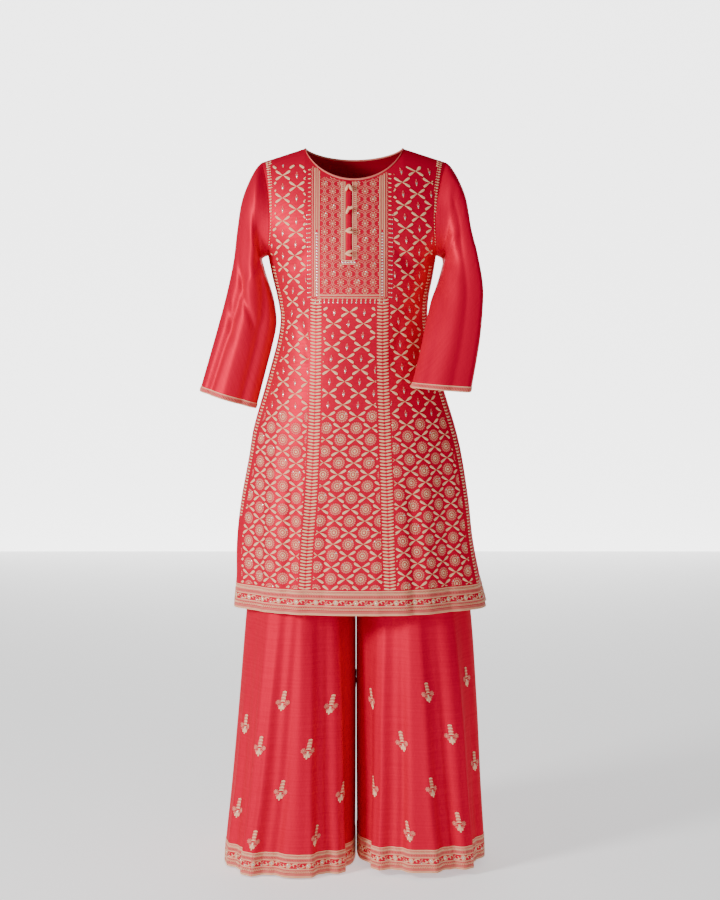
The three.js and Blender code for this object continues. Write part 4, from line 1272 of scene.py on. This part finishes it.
for stitch in (hanging, hanging_tip):
    yoke.append(stitch_row(BELOW_YOKE, stitch, -0.0680, 0.0760, 0.0092, YOKE_BOTTOM - 0.0012))
embroider("yoke_embroidery", yoke, ["yoke_panel"])

# Placket: a plain strip of the red cloth over the opening, a little arched across
STRIP_HALF = 0.0053
STRIP_GRID = (60, 7)
strip_s = np.broadcast_to(np.linspace(-STRIP_HALF, STRIP_HALF, STRIP_GRID[1]), STRIP_GRID)
strip_v = np.linspace(PLACKET_LINE + 0.0005, YOKE_CHART.v[-1], STRIP_GRID[0])[:, None]
strip_lift = 0.0014 + 0.0004 * np.cos(strip_s * 290)
strip_grid, strip_on = YOKE_CHART.at(strip_s, np.broadcast_to(strip_v, STRIP_GRID), strip_lift)
cloth("placket_strip", strip_grid[strip_on.all(1)], SILK, 1, ["placket"], thickness=0.0008)

# Sleeve trims: lines with slanted stitches between them, round each cuff
CUFF_COLUMNS = 541
CUFF_ROWS = [(line, LINE_PITCH, 0.0009), (line, LINE_PITCH, 0.0104), (rosy_line, LINE_PITCH, 0.0026),
             (rosy_line, LINE_PITCH, 0.0088), (slanted, 0.0032, 0.0057)]
for side, word in ((-1, "left"), (1, "right")):
    phi = np.linspace(-89.6, 269.6, CUFF_COLUMNS)
    if side > 0:
        phi = phi[::-1]
    stations = np.linspace(10, 8.9, 12)
    rows = sleeve(side, phi[None, :], stations[:, None])
    lengths = np.linalg.norm(np.diff(rows, axis=0), axis=2).mean(1)
    heights = np.concatenate([[0], lengths.cumsum()])
    arc = along_rows(rows)
    base = arc[:, CUFF_COLUMNS // 2]
    reach = max(base.max(), (arc[:, -1] - base).max())
    chart = Chart(rows, np.ones(rows.shape[:2], bool), base, heights, (-reach, reach))
    trim = [stitch_row(chart, stitch, -reach, reach, pitch, v) for stitch, pitch, v in CUFF_ROWS]
    embroider(f"cuff_embroidery_{word}", trim, [f"sleeve_trim_{word}"])

# Binding round the neck: a thin cord of thread on the upper edges of front and back
CORD = 0.0021
CORD_SIDES = 10
NECK_POINTS = 91
front_angle = np.linspace(-NECK_ANGLE, NECK_ANGLE, NECK_POINTS)
back_angle = np.linspace(NECK_ANGLE, -NECK_ANGLE, NECK_POINTS)[1:-1]
edge = np.concatenate([kurta(-1, front_angle, 2.0), kurta(1, back_angle, 2.0)])
below = np.concatenate([kurta(-1, front_angle, 1.985), kurta(1, back_angle, 1.985)])
onward = unit(edge - below)
along = unit(np.roll(edge, -1, 0) - np.roll(edge, 1, 0))
aside = unit(np.cross(along, onward))
spin = np.linspace(0, 2 * np.pi, CORD_SIDES, endpoint=False)[None, :, None]
cord = (edge + onward * (CORD + 0.0005))[:, None] + CORD * (
    onward[:, None] * np.cos(spin) + aside[:, None] * np.sin(spin))
cord = np.concatenate([cord, cord[:1]])
cord_uv = np.stack([np.repeat(np.arange(len(cord))[:, None] * 0.0025, CORD_SIDES, 1),
                    np.broadcast_to(np.arange(CORD_SIDES) / CORD_SIDES, cord.shape[:2])], -1)
binding = mesh_piece("neck_cord", cord.reshape(-1, 3), grid_faces(len(cord), CORD_SIDES, True)[:, ::-1],
                     uv=cord_uv.reshape(-1, 2), material=[ROSY])
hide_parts("neck_binding")

# Waistband of the sharara, just inside the kurta
BAND_THICKNESS = 0.0022
band_rises = (np.linspace(BAND_BOTTOM, BAND_TOP, 9) - KURTA_HEM) / (UNDERARM - KURTA_HEM)
band_angles = np.linspace(-90, 90, KURTA_COLUMNS)
band_front = kurta(-1, band_angles[None, :], band_rises[:, None])
band_back = kurta(1, band_angles[None, -2:0:-1], band_rises[:, None])
band = np.concatenate([band_front, band_back], 1)
band = band - grid_normals(band, True) * BAND_INSET
cloth("waistband_cloth", band, LINING, 1, ["waistband"], closed=True, thickness=BAND_THICKNESS)


# Potli buttons: a small ball between two leaning drops of thread
BALL_TURNS = 12
BALL_RINGS = 8
BALL_CAP = 0.02


def ball(centre, radii, lean):
    """Points and faces of an ellipsoid, leaning sideways by an angle in degrees."""
    u = np.linspace(0, 2 * np.pi, BALL_TURNS, endpoint=False)
    v = np.linspace(BALL_CAP, np.pi - BALL_CAP, BALL_RINGS)
    vv, uu = np.meshgrid(v, u, indexing="ij")
    shape = np.stack([radii[0] * np.sin(vv) * np.cos(uu), radii[0] * np.sin(vv) * np.sin(uu),
                      radii[1] * -np.cos(vv)], -1)
    c, s = math.cos(math.radians(lean)), math.sin(math.radians(lean))
    x, z = shape[..., 0] * c - shape[..., 2] * s, shape[..., 0] * s + shape[..., 2] * c
    points = np.stack([x, shape[..., 1], z], -1).reshape(-1, 3) + centre
    return points, grid_faces(BALL_RINGS, BALL_TURNS, True)


# Drops of each button: across and up from its middle, and how far the upper end leans left
BUTTON_DROPS = [
    [(-0.0036, -0.0012, -24), (0.0036, -0.0008, 24)],
    [(-0.0022, -0.0028, -24), (0.0036, 0.0022, -66)],
    [(-0.0004, 0.0030, -60), (0.0020, -0.0016, -98)],
    [(0.0008, 0.0026, -68), (-0.0004, -0.0026, -108)],
]
for k, drops in enumerate(BUTTON_DROPS):
    low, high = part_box(f"button_{k + 1}")
    middle = (np.array(low) + np.array(high)) / 2
    points, faces = [], []
    parts = [(middle + [0, 0.0002, 0.0034], (0.0024, 0.0024), 0)]
    for across_, up, lean in drops:
        parts.append((middle + [across_, -0.0018, up], (0.0030, 0.0074), lean))
    count = 0
    for centre, radii, lean in parts:
        some, quads = ball(centre, radii, lean)
        points.append(some)
        faces.append(quads + count)
        count += len(some)
    button = mesh_piece(f"potli_{k + 1}", np.concatenate(points), np.concatenate(faces),
                        uv=np.zeros((count, 2)), material=[CREAM])
    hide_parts(f"button_{k + 1}")

# Camera, stage and light
CAMERA_PLACE = (0.012, -4.0, -0.270)
CAMERA_DOWN = 4.85
LENS = 78.7
SENSOR_HEIGHT = 36.0
WHITE = (1.0, 1.0, 1.0, 1.0)
SKY_GLOW = 0.22

camera_data = bpy.data.cameras.new("camera")
camera_data.sensor_fit = "VERTICAL"
camera_data.sensor_height = SENSOR_HEIGHT
camera_data.lens = LENS
camera = bpy.data.objects.new("camera", camera_data)
camera.location = CAMERA_PLACE
camera.rotation_euler = (math.radians(90 - CAMERA_DOWN), 0.0, 0.0)
bpy.context.scene.collection.objects.link(camera)
bpy.context.scene.camera = camera

world = bpy.data.worlds.new("studio")
world.use_nodes = True
world.node_tree.nodes["Background"].inputs["Color"].default_value = WHITE
world.node_tree.nodes["Background"].inputs["Strength"].default_value = SKY_GLOW
bpy.context.scene.world = world


def area_light(name, place, target, size, energy):
    """A soft square lamp at a place, turned to a target."""
    data = bpy.data.lights.new(name, "AREA")
    data.energy = energy
    data.size = size
    lamp = bpy.data.objects.new(name, data)
    lamp.location = place
    lamp.rotation_euler = (Vector(target) - Vector(place)).to_track_quat("-Z", "Y").to_euler()
    bpy.context.scene.collection.objects.link(lamp)


SUIT_MIDDLE = (0, 0, -0.7)
area_light("key_lamp", (-2.8, -2.1, 0.6), SUIT_MIDDLE, size=0.8, energy=135)
area_light("fill_lamp", (1.2, -3.4, 0.0), SUIT_MIDDLE, size=1.6, energy=11)


def stage_plane(name, corners, colour, glow):
    """A flat piece of the studio, floor or backdrop, with a little light of its own."""
    mesh = bpy.data.meshes.new(name)
    mesh.from_pydata(corners, [], [(0, 1, 2, 3)])
    mesh.materials.append(plain_material(f"{name}_paper", colour, Roughness=0.85,
                                         Emission_Strength=glow, Emission_Color=WHITE))
    plane = bpy.data.objects.new(name, mesh)
    bpy.context.scene.collection.objects.link(plane)


FLOOR_REACH = 7.0
BACKDROP_AT = 4.6
BACKDROP_HALF = 2.0
BACKDROP_TOP = 1.3
PAPER = (0.90, 0.90, 0.90)
SQUARE = ((-1, -1), (1, -1), (1, 1), (-1, 1))
floor_corners = [(FLOOR_REACH * x, FLOOR_REACH * y, FLOOR) for x, y in SQUARE]
stage_plane("floor", floor_corners, PAPER, glow=0.7)
backdrop_corners = [(BACKDROP_HALF * x, BACKDROP_AT, FLOOR if up < 0 else BACKDROP_TOP)
                    for x, up in SQUARE]
stage_plane("backdrop", backdrop_corners, PAPER, glow=3.2)
